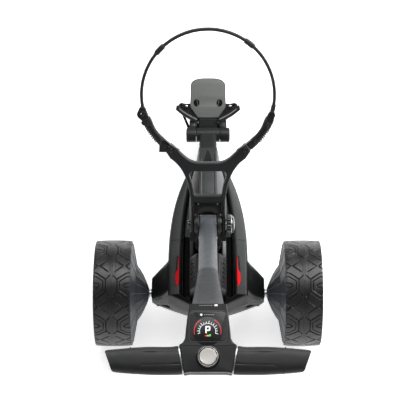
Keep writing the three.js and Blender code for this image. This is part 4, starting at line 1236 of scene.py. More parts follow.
def grip_ring(row):
    """The grip's outline, with grooves along the soft panel's edges."""
    fx, fy, bx, by, half = row
    ring = []
    for u, v in soft_ring(120, 2.7):
        share = (1 + u) / 2
        x = bx + (fx - bx) * share
        upper, lower = panel_lines(x)
        sunk = 0.0
        if x < 160:
            off = min(abs(u - upper), abs(u - lower)) * (fy - by) / 2
            sunk = GROOVE_DEPTH * share_of(off, GROOVE_HALF, 0)
        if x < 158 and (u > upper or u < lower):
            sunk = max(sunk, 0.12)
        k = 1 - sunk / half
        ring.append((x, by + (fy - by) * share, -half + half * v * k))
    return ring


bar_rings = [grip_ring(r) for r in grip_values]
for side, sign in SIDES:
    at_side = HEAD @ mirrored_if(sign)
    on_stem(f"grip_{side}", loft(bar_rings), at_side, "rubber", smooth=60, replaces=[f"{side}_grip"])
    trim = []
    for dx, grow in ((-2.8, 0.1), (-2.5, 0.8), (-0.6, 0.8), (-0.25, 0.1)):
        trim.append([
            (52.4 + 10.2 * (1 + u) / 2 + dx, -25 + 59.2 * (1 + u) / 2 + grow * u, -17 + (17 + grow) * v)
            for u, v in soft_ring(96, 2.6)
        ])
    on_stem(f"trim_ring_{side}", loft(trim), at_side, "steel", replaces=[f"{side}_trim_ring"])
    for label, x, y in (("front", 158.5, 29.6), ("back", 154.5, -23.6)):
        notch = [(x + 1.5, y, -6), (x + 0.5, y + math.copysign(0.3, y), -13), (x, y, -22)]
        on_stem(f"grip_notch_{label}_{side}", sweep(notch, circle(0.8, 8)), at_side, "rubber", DARK)

# ------------------------------------------------------------------ clamp knob
LOBES = 14


def knob_profile(angle):
    """The clamp knob's lobed rim and domed face."""
    dip = 1.9 * max(0.0, math.cos(angle * LOBES)) ** 2
    rim = [(24 - dip, 46.4), (25 - dip, 48.2), (25 - dip, 55.2), (24.2 - dip, 57)]
    dome = [
        (22.6, 58), (22, 58.4), (21.6, 59.4), (20.4, 61.8), (17.4, 63.9), (12, 65.5), (5, 66.2),
        (0.01, 66.35),
    ]
    return [(0.01, 45.6), (21.6, 45.6), *rim, *dome]


knob = lathe(knob_profile, LOBES * 10)
piece("clamp_knob", "knob_body", knob, HINGE, "gloss_black", smooth=40, replaces=["clamp_knob"])
piece("clamp_knob", "knob_ring", ring_of(22.9, 21.2, 57.4, 58.9, 0.5, 72), HINGE, "steel")
piece("clamp_knob", "knob_neck", rod(8, 44.7, 46, 0.3), HINGE, "steel")


# ------------------------------------------------------------------ upper bag support: yoke, arms, strap
def polar(radius, degrees):
    """A point round the strap ring's centre."""
    a = math.radians(degrees)
    return radius * math.cos(a), RING_T + radius * math.sin(a)


def bezier(a, b, c, d, count=14):
    """Points along a Bezier curve, without its first."""
    out = []
    for k in range(1, count + 1):
        t = k / count
        s = 1 - t
        p = Vector(a) * s**3 + Vector(b) * 3 * s * s * t + Vector(c) * 3 * s * t * t + Vector(d) * t**3
        out.append(tuple(p))
    return out


inner_end, outer_end = polar(149.5, -52.8), polar(172.5, -52.8)
right_side = [(33.5, -38), (44, -38), (43, 60)]
right_side += bezier((43, 60), (45, 100), (56, 146), (92, 170)) + [outer_end, inner_end]
right_side += bezier(inner_end, (64, 186), (52, 160), (22, 160))
yoke_outline = mirrored(right_side) + [(-33.5, 58), (33.5, 58)]
window = fillet(mirrored([(33, 77), (38, 105), (46, 130), (41, 138)]), [4, 0, 9, 3, 3, 9, 0, 4], 5)
on_support(
    "yoke_frame", plate([yoke_outline, window], -11, 11, 4.2, 4), SUPPORT, smooth=50, replaces=["yoke"],
)
# A thin saddle over the stem's foot, with a half-round collar and two small screws.
saddle_loop = [(33.4, 26), (33.4, 60), (-33.4, 60), (-33.4, 26), *arc(23, 20, 138, 42, 30, 0, 12.5)]
on_support("yoke_saddle", plate([saddle_loop], -7, -0.6, 1.2, 2), SUPPORT)
collar = arc(33.2, 33.4, 26, 154, 48, 0, 13) + arc(23.4, 20.4, 140, 40, 40, 0, 12.6)
on_support("yoke_collar", plate([collar], -6, 0.9, 2.6, 4), SUPPORT, "satin_black", FINISH["neck"])
# A raised ledge across the saddle, in a paler grey that is a painted highlight.
ledge = rounded_box(-31, 31, 55.5, 60.5, 1.6, 4)
on_support("saddle_ledge", plate([ledge], -1, 1.8, 0.7, 2), SUPPORT, "satin_black", EDGE_GREY)
for side, sign in SIDES:
    screw("bag_support", f"saddle_screw_{side}", moved(SUPPORT, 24 * sign, 52.5, -0.8), 2.4, height=1.6)
    cheek = fillet([(24.6, 26.6), (32.6, 26.6), (32.6, 46), (30, 46), (25, 36)], 1.5, 3)
    on_support(
        f"saddle_cheek_{side}", plate([cheek], -1.2, 0.4, 0.5), SUPPORT @ mirrored_if(sign), "gloss_black",
    )
for side, sign in SIDES:
    at_side = SUPPORT @ mirrored_if(sign)
    # Raised lines along the window's side and down the leg.
    rim = smooth_line([(36.4, 70), (41.5, 104), (50.5, 133)], 6)
    on_support(f"yoke_rim_{side}", plate([stroke(rim, 2.2)], 9.6, 11.7, 0.7), at_side)
    leg_panel = fillet([(35.5, -30), (42, -30), (41.2, 52), (35.5, 52)], 2.5, 4)
    on_support(f"yoke_leg_panel_{side}", plate([leg_panel], 9.5, 11.7, 0.8), at_side, "gloss_black")
    foot = fillet([(32.8, -40.5), (45.2, -40.5), (45.2, -16), (32.8, -16)], 3, 4)
    on_support(f"yoke_foot_{side}", plate([foot], -12.5, 12.5, 1.8, 3), at_side, "gloss_black", DARK)
    # Pivot boss with its screw, at the joint between the yoke and the arm.
    px, pt = polar(161.8, -56.4)
    boss = moved(at_side, px, pt, 0)
    on_support(f"arm_boss_{side}", plate([circle(10.2, 40)], -11.6, 12.4, 1.4, 3), boss)
    boss_ring = [circle(7.2, 40), circle(5.6, 40)]
    on_support(f"arm_boss_ring_{side}", plate(boss_ring, 12.0, 13.0, 0.35), boss, "gloss_black", DARK)
    screw("bag_support", f"arm_screw_{side}", moved(boss, 0, 0, 12.2), 4.6, slot="gloss_black", height=1.7)
    lip_line = [polar(150.5, -62.5), polar(150.0, -58), polar(150.2, -53.2), polar(150.4, -46)]
    lip = stroke(smooth_line(lip_line, 5), 2.6)
    on_support(f"arm_lip_{side}", plate([lip], 6.5, 12.6, 0.8), at_side, "pale_grey", FINISH["mid_grey"])

for side, sign in SIDES:
    at_side = SUPPORT @ mirrored_if(sign)
    angles = [-52.3, -51.9, -51, *np.linspace(-48, -24, 13), -21.5, -20.4, -20.05]
    rings = []
    for k, degrees in enumerate(angles):
        pinch = {0: 0.86, 1: 0.96}.get(min(k, len(angles) - 1 - k), 1.0)
        waist = math.exp(-(((degrees + 36) / 7) ** 2))
        flare = math.exp(-(((degrees + 24) / 3) ** 2))
        bulge = 1.0 - 0.16 * waist + 0.1 * flare
        ring = [(10.6 * u * pinch * bulge, 9.2 * v * pinch) for u, v in soft_ring(56, 3.6)]
        rings.append([(*polar(RING_R + across, degrees), z) for across, z in ring])
    on_support(f"support_arm_{side}", loft(rings), at_side, smooth=50, replaces=[f"{side}_support_arm"])
    inlay = stroke(smooth_line([polar(RING_R, d) for d in np.linspace(-47, -27, 6)], 5), 9.5)
    on_support(f"support_arm_inlay_{side}", plate([inlay], 8.6, 10.0, 0.6), at_side, "gloss_black")
    for k, degrees in enumerate((-44.5, -25.5)):
        spot = moved(at_side, *polar(RING_R, degrees), 9.4)
        screw("bag_support", f"support_arm_screw_{side}_{k}", spot, 3.2, slot="gloss_black", height=1.3)
    grips = [polar(171.6, d) for d in np.linspace(-42, -27, 9)]
    for k, (x, t) in enumerate(grips):
        on_support(f"support_arm_tooth_{side}_{k}", plate([circle(1.5, 16, x, t)], -6.5, 6.5, 0.5), at_side)

# The left arm carries the strap's toggle: a pointed nub by the pivot, a second one, and a hook.
LEFT = SUPPORT @ mirrored_if(-1)
nub = fillet([polar(168, -45), polar(184, -49.4), polar(170, -55.5), polar(160, -52)], [3, 1.4, 2, 3], 4)
on_support("toggle_nub_low", plate([nub], -7, 8.5, 1.5, 3), LEFT)
nub = fillet([polar(168, -19.5), polar(176.5, -22.6), polar(174, -25), polar(166, -28)], [2, 1.2, 1.2, 2], 4)
on_support("toggle_nub_high", plate([nub], -6, 7.5, 1.3, 3), LEFT)
hook = fillet(
    [
        polar(153, -20.5), polar(171, -22), polar(179, -17), polar(178.5, -14.5), polar(168, -9.6),
        polar(155, -10.5),
    ],
    [2, 3, 2.5, 2, 4, 3], 4,
)
toggle_centre = polar(165.5, -16)
eye = circle(4.4, 20, *toggle_centre)
on_support("toggle_hook", plate([hook, eye], -8.4, 8.4, 1.6, 3), LEFT, "gloss_black")
on_support("toggle_pin", plate([circle(3.4, 28, *toggle_centre)], -9.2, 9.2, 0.8), LEFT, "gloss_black")
catch = stroke([polar(156, -19), polar(160, -15), polar(170, -12.5)], [5, 6, 4])
on_support("toggle_catch", plate([catch], 7.8, 11.2, 0.9), LEFT)
clip = fillet(
    [
        polar(152.5, -24.5), polar(170.5, -24.5), polar(170.5, -16.5), polar(166, -13.8), polar(156, -13.8),
        polar(152.5, -16.5),
    ],
    [2, 2, 3, 2, 2, 3], 4,
)
on_support("strap_clip", plate([clip], -9.8, 9.8, 1.6, 3), SUPPORT, "gloss_black")


def band_section(thickness, half):
    """A strap's section."""
    return [(thickness / 2 * u, half * v) for u, v in soft_ring(28, 3.4)]


def ring_band(first, last, count, section_at):
    """A body along the strap ring; section_at gives its section at each angle in degrees."""
    rings = []
    for degrees in np.linspace(first, last, count):
        rings.append([(*polar(RING_R + u, degrees), v) for u, v in section_at(degrees)])
    return loft(rings)


strap = ring_band(-17, 197, 150, lambda d: band_section(8.2, 8))
on_support("strap_band", strap, SUPPORT, "rubber", smooth=50, replaces=["bag_strap"])


def plain_band(middle, reach, thickness, half, count=3):
    """A short band round the strap, reach degrees to each side of its middle."""
    return ring_band(middle - reach, middle + reach, count, lambda d: band_section(thickness, half))


SLEEVE_REACH = 5.2  # degrees to each side
for k, middle in enumerate((136.1, 51.9)):

    def sleeve(degrees, middle=middle):
        t = share_of(abs(degrees - middle), SLEEVE_REACH, SLEEVE_REACH - 1.1)
        return band_section(8.6 + 4.4 * t, 8.4 + 1.8 * t)

    band = ring_band(middle - SLEEVE_REACH, middle + SLEEVE_REACH, 40, sleeve)
    on_support(f"strap_sleeve_{k}", band, SUPPORT, "rubber", smooth=50)
    for j, offset in enumerate((-2.2, 0.0, 2.2)):
        rib = plain_band(middle + offset, 0.35, 13.6, 10.6)
        on_support(f"strap_sleeve_rib_{k}_{j}", rib, SUPPORT, "rubber")
for k, middle in enumerate((-12.5, -9.5, 189.5, 192.5)):
    on_support(f"strap_end_rib_{k}", plain_band(middle, 0.4, 9.4, 8.9), SUPPORT, "rubber")
on_support("strap_root_right", plain_band(-11.9, 3.7, 11, 9.2, 8), SUPPORT, "rubber")

# ------------------------------------------------------------------ lower bag plate and arms
plate_low = fillet(
    [(-47, 26), (-47, 6), (-48.5, -27), (-28, -56), (28, -56), (48.5, -27), (47, 6), (47, 26)],
    [0, 8, 12, 6, 6, 12, 8, 0], 6, closed=False,
)
plate_arch = []
for a in np.linspace(0.06, math.pi - 0.06, 42):
    c = math.cos(a)
    plate_arch.append((47 * math.copysign(abs(c) ** 0.62, c), 26 + 25.5 * math.sin(a) ** 0.72))
plate_loop = plate_low + plate_arch
inner_loop = [(x * 0.965, -3 + (y + 3) * 0.965) for x, y in plate_loop]
sockets = [ellipse(7.6, 9.4, x, -15) for x in (-31, 31)]
on_carrier(
    "bag_plate", plate([plate_loop, *sockets], -6, -0.35, 1.2, 3), PLATE, "mid_grey", EDGE_GREY,
    replaces=["bag_base_plate"],
)
on_carrier("bag_plate_face", plate([inner_loop, *sockets], -1.2, 0.0, 0.45, 2), PLATE, "mid_grey")
panel = fillet([(24, -40), (33, 4), (33, 40), (-33, 40), (-33, 4), (-24, -40)], [6, 10, 9, 9, 10, 6], 6)
panel_inside = [(x * 0.965, y * 0.965) for x, y in panel]
on_carrier("bag_plate_panel", plate([panel, panel_inside], -0.3, 0.22, 0.1, 1), PLATE, "mid_grey")
for side, sign in SIDES:
    spot = moved(PLATE, 31 * sign, -15, 0)
    oval_loop = ellipse(7.4, 9.2)
    on_carrier(f"plate_socket_{side}", plate([oval_loop], -6.1, -5.2, 0.2), spot, "satin_black", DARK)
    socket_rim = [ellipse(8.6, 10.4), oval_loop]
    on_carrier(f"plate_socket_rim_{side}", plate(socket_rim, -0.4, 0.5, 0.3), spot, "satin_black", EDGE_GREY)
    screw(
        "front_carrier", f"plate_screw_{side}", moved(spot, 0, -1.2, -5.3), 5.6, slot="gloss_black",
        height=3.2,
    )

arm_curve = smooth_line([(31, -63), (48, -54.5), (66, -43.5), (83, -30)], 8)


def along_arm(offset, first=0, last=None):
    """The arm's middle line, or a stretch of it, moved sideways."""
    out = []
    line = arm_curve[first:last]
    for i, p in enumerate(line):
        a, b = Vector(line[max(i - 1, 0)]), Vector(line[min(i + 1, len(line) - 1)])
        along = (b - a).normalized()
        out.append((p[0] - along.y * offset, p[1] + along.x * offset))
    return out


for side, sign in SIDES:
    at_side = PLATE @ mirrored_if(sign)
    body = f"{side}_bag_arm"
    outer = stroke(along_arm(-2.6), 6.4)
    piece(body, f"bag_arm_outer_{side}", plate([outer], -4.6, 23.6, 1.4, 3), at_side, replaces=[body])
    band = stroke(along_arm(2.1), 2.3)
    piece(body, f"bag_arm_band_{side}", plate([band], -2, 24, 0.7, 3), at_side, "pale_grey")
    pad = stroke(along_arm(4.6), 2.6)
    piece(body, f"bag_arm_pad_{side}", plate([pad], -4.2, 21.5, 0.9, 3), at_side, "rubber")
    slit = stroke(along_arm(-2.6, 3, -3), 1.5)
    piece(body, f"bag_arm_slit_{side}", plate([slit], 23.0, 23.9, 0.25), at_side, "satin_black", DARK)
    tip = moved(at_side, *along_arm(0.4)[-1])
    tip_loop = fillet([(-6.5, -6.6), (3.6, -4.4), (1.4, 7.2), (-7.4, 4.6)], 2.2, 4)
    piece(body, f"bag_arm_tip_{side}", plate([tip_loop], -4.8, 24.6, 1.4, 3), tip)
    lug = rounded_box(30.6, 49.4, -82.4, -60.2, 8.4, 8)
    hole = circle(3.6, 24, 40, -73)
    piece(body, f"bag_arm_lug_{side}", plate([lug, hole], -4.6, 6, 1.2, 3), at_side, "pale_grey", EDGE_GREY)
    screw(body, f"bag_arm_screw_{side}", moved(at_side, 40, -73, 5.9), 5.2, slot="mid_grey", height=2.2)
    # A hook post and a small clamp stand behind each arm, for the bag's strap.
    screw(
        "front_carrier", f"hook_screw_{side}", moved(at_side, 27.5, -68.5, 6.0), 2.6, slot="mid_grey",
        height=1.4,
    )
    # The post reaches in under the plate, a dark filler where the plate's shadow falls: painted shadow.
    post = fillet(
        [(42, -50), (42, -16), (60, -16.5), (73, -14), (80, -20), (78, -28), (60, -40)],
        [3, 3, 4, 3, 3, 4, 5], 4,
    )
    on_carrier(f"hook_post_{side}", plate([post], -13, -6.5, 1.4, 3), at_side)
    on_carrier(f"hook_head_{side}", plate([circle(5.2, 32, 58.5, -24)], -7, 2.5, 1.2, 3), at_side)
    screw("front_carrier", f"hook_cap_{side}", moved(at_side, 58.5, -24, 2.3), 3.2, height=1.3)
    tail = plate([circle(3.6, 28, 71.5, -18.5)], -7, -1.5, 1, 3)
    on_carrier(f"hook_tail_{side}", tail, at_side, "gloss_black")

# Stay on the left, from the hook post down to the hinge's end.
stay = fillet([(71, -29), (76, -33), (53, -88), (47, -92), (46.5, -84)], [2, 2.5, 2, 2, 2], 4)
on_carrier("stay_left", plate([stay], -13.5, -8.5, 1.2, 3), PLATE @ mirrored_if(-1))

# ------------------------------------------------------------------ front carrier, fork and axle
for side, sign in SIDES:
    at_side = BARREL @ mirrored_if(sign)
    profile = fillet(
        [(5.4, 31.9), (19.4, 31.9), (19.4, 55.6), (17.8, 57), (5.4, 57)], [0.4, 1.1, 1.4, 1.2, 0.4], 4,
    )
    on_carrier(f"carrier_knuckle_{side}", lathe(profile, 64), at_side)
    cap = fillet([(0, 54.5), (16.2, 54.5), (16.2, 57.6), (13.6, 58.2), (0, 58.2)], [0, 0.6, 0.8, 0.6, 0], 4)
    cap_piece = on_carrier(f"knuckle_cap_{side}", lathe(cap, 56, closed=False), at_side, "gloss_black")
    carve(cap_piece, (plate([circle(5, 6)], 56.6, 60), at_side @ SIDEWAYS))
    web = fillet([(-103, -16), (-82, -16), (-82, 12), (-90, 18), (-103, 18)], 4, 4)
    on_carrier(f"carrier_web_{side}", plate([web], 34, 48, 2, 3), PLATE @ mirrored_if(sign) @ SIDEWAYS)

deck = fillet([(-44, -60), (44, -60), (44, 26), (36, 34), (-36, 34), (-44, 26)], [2, 2, 6, 8, 8, 6], 5)
on_carrier("carrier_deck", plate([deck], -16, -6.3, 1.4, 3), PLATE)
on_carrier("carrier_bridge", plate([rounded_box(-50, 50, -100, -56, 7)], -16, -6.4, 1.6, 3), PLATE)
on_carrier("carrier_block", plate([rounded_box(-24, 24, -85, -57.6, 3)], -12, 6, 1.6, 3), PLATE)
block_line = [rounded_box(-19, 19, -80, -62, 2.5), rounded_box(-18, 18, -79, -63, 2)]
on_carrier("carrier_block_line", plate(block_line, 5.6, 6.4, 0.2, 1), PLATE, "gloss_black", DARK)
for k, x in enumerate((-30, -15, 0, 15, 30)):
    rib = fillet([(-54, -16), (28, -16), (24, -21), (-50, -21)], 2, 3)
    on_carrier(f"deck_rib_{k}", plate([rib], x - 1.4, x + 1.4, 0.6), PLATE @ SIDEWAYS)

leg = Vector(FRONT_AXLE) - Vector(FRONT_HINGE)
leg_lean = math.degrees(math.atan2(leg.y, leg.x))


def leg_outline(top, end):
    """A bar with round ends of those radii, from the hinge to the axle."""
    upper = arc(top, top, leg_lean + 90, leg_lean + 270, 22, *FRONT_HINGE)
    return upper + arc(end, end, leg_lean - 90, leg_lean + 90, 22, *FRONT_AXLE)


def down_leg(share, across=0.0):
    """A point a share of the way down the fork leg."""
    aside = Vector((-leg.y, leg.x)).normalized() * across
    return tuple(Vector(FRONT_HINGE) + leg * share + aside)


for side, sign in SIDES:
    at_side = PLAIN @ mirrored_if(sign) @ SIDEWAYS
    fork_leg = [leg_outline(13, 12), circle(5.3, 28, *FRONT_AXLE)]
    on_carrier(f"fork_leg_{side}", plate(fork_leg, 33, 40.4, 2, 3), at_side)
    frame_line = stroke([down_leg(t) for t in (0.16, 0.5, 0.84)], [15, 14, 13])
    inner_line = stroke([down_leg(t) for t in (0.18, 0.5, 0.82)], [11, 10, 9])
    on_carrier(f"fork_frame_{side}", plate([frame_line, inner_line], 39.8, 41, 0.4), at_side)
    for k, share in enumerate((0.3, 0.42, 0.54, 0.66)):
        a, b = down_leg(share, 5.2), down_leg(share + 0.06, -5.2)
        on_carrier(f"fork_rib_{side}_{k}", plate([stroke([a, b], 1.6)], 39.8, 40.9, 0.3, 1), at_side)
    nut = circle(8, 6, *FRONT_AXLE)
    on_carrier(f"axle_nut_{side}", plate([nut], 41.4, 45, 0.8), at_side, "steel")
    washer = [circle(9.6, 40, *FRONT_AXLE), circle(5.2, 24, *FRONT_AXLE)]
    on_carrier(f"axle_washer_{side}", plate(washer, 40.4, 41.5, 0.3), at_side, "steel")
on_carrier("front_axle_rod", rod(5, -43, 43, 0.6), place_at(*FRONT_AXLE), "steel", replaces=["front_axle"])
on_carrier("carrier_hub", ring_of(13, 5.4, 31.2, 33.2, 0.5), BARREL, replaces=["front_carrier"])


# ------------------------------------------------------------------ wheels
def groove_map(x, v, period, lines, fine):
    """How deep the tread is cut at each point: lines are (points, half width, depth), mirrored over x."""
    depth = np.zeros_like(x)
    for points, half, cut in lines:
        for mirror in (1, -1):
            for shift in (-period, 0, period):
                for (ax, av), (bx, bv) in zip(points, points[1:]):
                    a = np.array([ax * mirror, av + shift])
                    d = np.array([bx * mirror, bv + shift]) - a
                    t = np.clip(((x - a[0]) * d[0] + (v - a[1]) * d[1]) / max(d @ d, 1e-9), 0, 1)
                    far = np.hypot(x - a[0] - t * d[0], v - a[1] - t * d[1])
                    depth = np.maximum(depth, cut * np.clip((half + 0.35 - far) / 0.7, 0, 1))
    for at, half, cut in fine:
        far = np.abs(np.abs(x) - at)
        depth = np.maximum(depth, np.where(far < half, cut, 0))
    return depth


def tyre_section(radius, half, seat, cell, fine, crown):
    """A tyre's outline as (x, radius): side wall, shoulder, crowned tread and back down."""
    flat = half - 3.5
    across = list(np.linspace(-flat, flat, int(2 * flat / cell)))
    for at, width, _ in fine:
        across += [s * (at + e) for s in (1, -1) for e in (-width, width)]
    foot, shoulder = seat + 4, radius - 9
    side = [(-half + 2, seat), (-half + 1.6, foot)]
    for k in range(8):
        t = k / 7
        side.append((-half + 1.6 - 1.4 * math.sin(t * math.pi / 2), foot + (shoulder - foot) * t))
    for k in range(1, 6):
        a = math.pi / 2 * k / 6
        side.append((-half + 0.2 + 3.3 * (1 - math.cos(a)), shoulder + 7.4 * math.sin(a)))
    tread = [(x, radius - crown * abs(x / flat) ** 2.4) for x in sorted(set(np.round(across, 3)))]
    hollow = [(half - 12, seat + 0.2), (-half + 12, seat + 0.2)]
    return side + tread + [(-x, r) for x, r in reversed(side)] + hollow


def tyre(name, radius, half, seat, repeats, cell, lines, fine, place, body, replaced, crown=1.6):
    """A tyre with its tread cut in; half is half its width, and it sits on the rim at radius seat."""
    section = tyre_section(radius, half, seat, cell, fine, crown)
    xs = np.array([p[0] for p in section])
    rs = np.array([p[1] for p in section])
    steps = repeats * max(8, int(2 * math.pi * radius / repeats / cell))
    per = steps // repeats
    period = 2 * math.pi * radius / repeats
    v = np.linspace(-period / 2, period / 2, per, endpoint=False)
    grid_x, grid_v = np.meshgrid(xs, v)
    cut = groove_map(grid_x, grid_v, period, lines, fine)
    weight = np.clip((rs - (radius - 13)) / 5, 0, 1)
    weight[-2:] = 0
    cut = np.tile(cut * weight, (repeats, 1))
    angle = 2 * math.pi * np.arange(steps) / steps - TREAD_PHASE
    r = rs[None, :] - cut
    x = np.broadcast_to(xs, r.shape)
    points = np.stack([x, -r * np.sin(angle)[:, None], r * np.cos(angle)[:, None]], axis=2).reshape(-1, 3)
    matrix = np.array(place)
    points = points @ matrix[:3, :3].T + matrix[:3, 3]
    n = len(xs)
    i = np.arange(steps)[:, None] * n + np.arange(n)[None, :]
    right = np.roll(i, -1, axis=1)
    quads = np.stack([i, right, np.roll(right, -1, axis=0), np.roll(i, -1, axis=0)], axis=2).reshape(-1, 4)
    if np.linalg.det(matrix[:3, :3]) > 0:
        quads = quads[:, ::-1]
    mesh = bpy.data.meshes.new(name)
    mesh.vertices.add(len(points))
    mesh.vertices.foreach_set("co", points.ravel())
    mesh.loops.add(quads.size)
    mesh.loops.foreach_set("vertex_index", quads.ravel().astype(np.int32))
    mesh.polygons.add(len(quads))
    mesh.polygons.foreach_set("loop_start", np.arange(0, quads.size, 4, dtype=np.int32))
    mesh.update(calc_edges=True)
    mesh.validate()
    settle(body, name, mesh, "tyre", None, 42, [replaced])


TREAD_PHASE = math.radians(11.5)
TREAD_REPEATS = 8
HALF_STEP = round(math.pi * AXLE_HEIGHT / TREAD_REPEATS, 2)
# Tread grooves as (points, half width, depth): x out from the middle, v round the tyre.
HEX = [
    ([(60, 36), (39, 34), (14.5, 16.5), (14.5, -16.5), (39, -34), (60, -36)], 1.15, 2.6),
    ([(60, 25.5), (40, 24), (21.5, 11), (21.5, -11), (40, -24), (60, -25.5)], 0.8, 1.7),
    ([(60, 7), (38, 6), (29.5, 0), (38, -6), (60, -7)], 1.1, 2.3),
    ([(14.5, 16.5), (4.5, 27)], 1.0, 2.0),
    ([(14.5, -16.5), (4.5, -27)], 1.0, 2.0),
    ([(9, 38), (31, HALF_STEP), (9, 72)], 1.0, 2.2),
    ([(60, 47), (46, 46), (36, HALF_STEP), (46, 64), (60, 63)], 1.0, 2.4),
    ([(20, 49), (28, HALF_STEP), (20, 61)], 0.6, 1.2),
]
# Fine lines all the way round as (x, half width, depth).
FINE = [(1.6, 0.45, 0.5), (5.2, 0.45, 0.5), (8.8, 0.45, 0.45), (46.6, 0.4, 0.5)]
cell = 1.0  # millimetres between the tread's points
HUB_SIDES = 18
SPOKES = 9
# The hub cone's outside as (radius, x).
CONE = [(133, -48), (74, -59.5), (62, -68), (47, -76.5), (30, -84), (15, -90)]


def cone_ring(radius, x):
    """An 18-sided ring with softened corners."""
    return [(x, p[1], p[0]) for p in fillet(circle(radius, HUB_SIDES), min(1.3, radius * 0.08), 2)]


for side, sign in SIDES:
    wheel = moved(AXLE @ mirrored_if(sign), WHEEL_X)
    body = f"{side}_wheel"
    tyre(
        f"tyre_{side}", AXLE_HEIGHT, WHEEL_HALF, 112, TREAD_REPEATS, cell, HEX, FINE, wheel, body,
        f"{side}_tyre",
    )

    profile = [
        (133, -48), (131.5, -48.9), *CONE[1:], (9.8, -90.2), (9.8, -84.5), (45, -72.5), (72, -56.3),
        (131, -47.2),
    ]
    cone = loft([cone_ring(r, x) for r, x in profile], rejoin=True)
    piece(body, f"hub_cone_{side}", cone, wheel, "slate", smooth=14, replaces=[f"{side}_hub_cone"])
    # Thin raised ribs along the cone's ridges; their lighter slate is a painted highlight on the ridge
    # lines.
    ribs = []
    for k in range(HUB_SIDES):
        a = 2 * math.pi * k / HUB_SIDES
        crease = [(131.5, -48.9), *CONE[1:-1], (17, -89.2)]
        line = [(x - 0.15, r * math.sin(a), r * math.cos(a)) for r, x in crease]
        ribs.append(sweep(line, circle(0.85, 8)))
    ridge_highlight_paint = plastic(f"slate_ridge_highlight_{side}", (0.1, 0.108, 0.12), 0.35, spread=0.06)
    piece(body, f"hub_ribs_{side}", together(*ribs), wheel, "slate", ridge_highlight_paint)
    nose = fillet([(9.7, -90), (15.4, -90), (13.4, -92), (9.7, -92)], 0.5, 3)
    piece(body, f"hub_nose_{side}", lathe(nose, 48), wheel, "steel")
    flange = fillet([(128, -49), (134.6, -48.4), (134.6, -46.4), (128, -46)], 0.5, 3)
    piece(body, f"hub_flange_{side}", lathe(flange, 96), wheel, "slate")

    barrel = [
        (106.8, -45), (111.6, -45), (111.6, 44), (114.4, 45.2), (114.4, 47), (106.2, 47), (103.6, 44.8),
        (103.6, 41.5), (106.8, 39),
    ]
    piece(body, f"rim_barrel_{side}", lathe(fillet(barrel, 0.8, 3), 96), wheel, replaces=[f"{side}_rim"])
    windows = []
    for k in range(SPOKES):
        loop = fillet([(-9, 36), (9, 36), (29.5, 95), (0, 101), (-29.5, 95)], [3, 3, 7, 20, 7], 5)
        windows.append(turned(loop, 2 * math.pi * k / SPOKES))
    piece(body, f"rim_face_{side}", plate([circle(107.6, 96), *windows], 26, 36, 2.2, 3), wheel @ SIDEWAYS)
    spokes = []
    for k in range(SPOKES):
        loop = fillet([(-2.4, 28), (2.4, 28), (4.6, 98), (-4.6, 98)], 1.5, 3)
        spokes.append(plate([turned(loop, 2 * math.pi * (k + 0.5) / SPOKES)], 35, 39.5, 1.1, 2))
    piece(body, f"rim_spokes_{side}", together(*spokes), wheel @ SIDEWAYS, "slate")
    boss = fillet(
        [
            (8.4, -56), (26, -56), (26, 36), (30, 38), (30, 42.5), (27, 44.5), (16.6, 44.5), (16.6, 36.4),
            (8.4, 36.4),
        ],
        1, 3,
    )
    piece(body, f"rim_boss_{side}", lathe(boss, 64), wheel)
    piece(body, f"rim_lip_{side}", ring_of(104.6, 103.2, 43.2, 46.6, 0.5, 96), wheel, "steel")
    for k, (z, y) in enumerate(circle(22.6, 6)):
        screw(body, f"rim_bolt_{side}_{k}", moved(wheel, 44.3, y, z) @ OUTWARD, 2.7, height=1.2)
    release = f"{side}_release"
    cap = fillet(
        [(0, 39.4), (15.8, 39.4), (15.8, 44.6), (14.4, 46), (11, 46), (10, 45.2), (0, 45.2)],
        [0, 0.3, 0.8, 0.8, 0.5, 0.5, 0], 4,
    )
    piece(
        release, f"release_cap_{side}", lathe(cap, 56, closed=False), wheel, "mid_grey",
        replaces=[f"{side}_release_button"],
    )
    arrow = fillet([(-4, -4.6), (0, -1.6), (4, -4.6), (4, -1.4), (0, 2.4), (-4, -1.4)], 0.5, 2)
    for k in range(2):
        loop = turned([(x, y + 3.6) for x, y in arrow], math.pi * k)
        piece(
            release, f"release_mark_{side}_{k}", plate([loop], 45.0, 45.7, 0.2, 1), wheel @ SIDEWAYS,
            "mid_grey", EDGE_GREY,
        )
    piece(
        "drive_shaft", f"axle_collar_{side}", ring_of(11.4, 8.2, 149.3, 154.6, 0.8),
        AXLE @ mirrored_if(sign), "steel",
    )
    piece(
        "drive_shaft", f"axle_clip_{side}", ring_of(9.4, 8.1, 155.2, 156.6, 0.3),
        AXLE @ mirrored_if(sign), "steel",
    )

piece("drive_shaft", "shaft_skin", rod(8, -277.4, 277.4, 1.2), AXLE, "steel", replaces=["drive_shaft"])

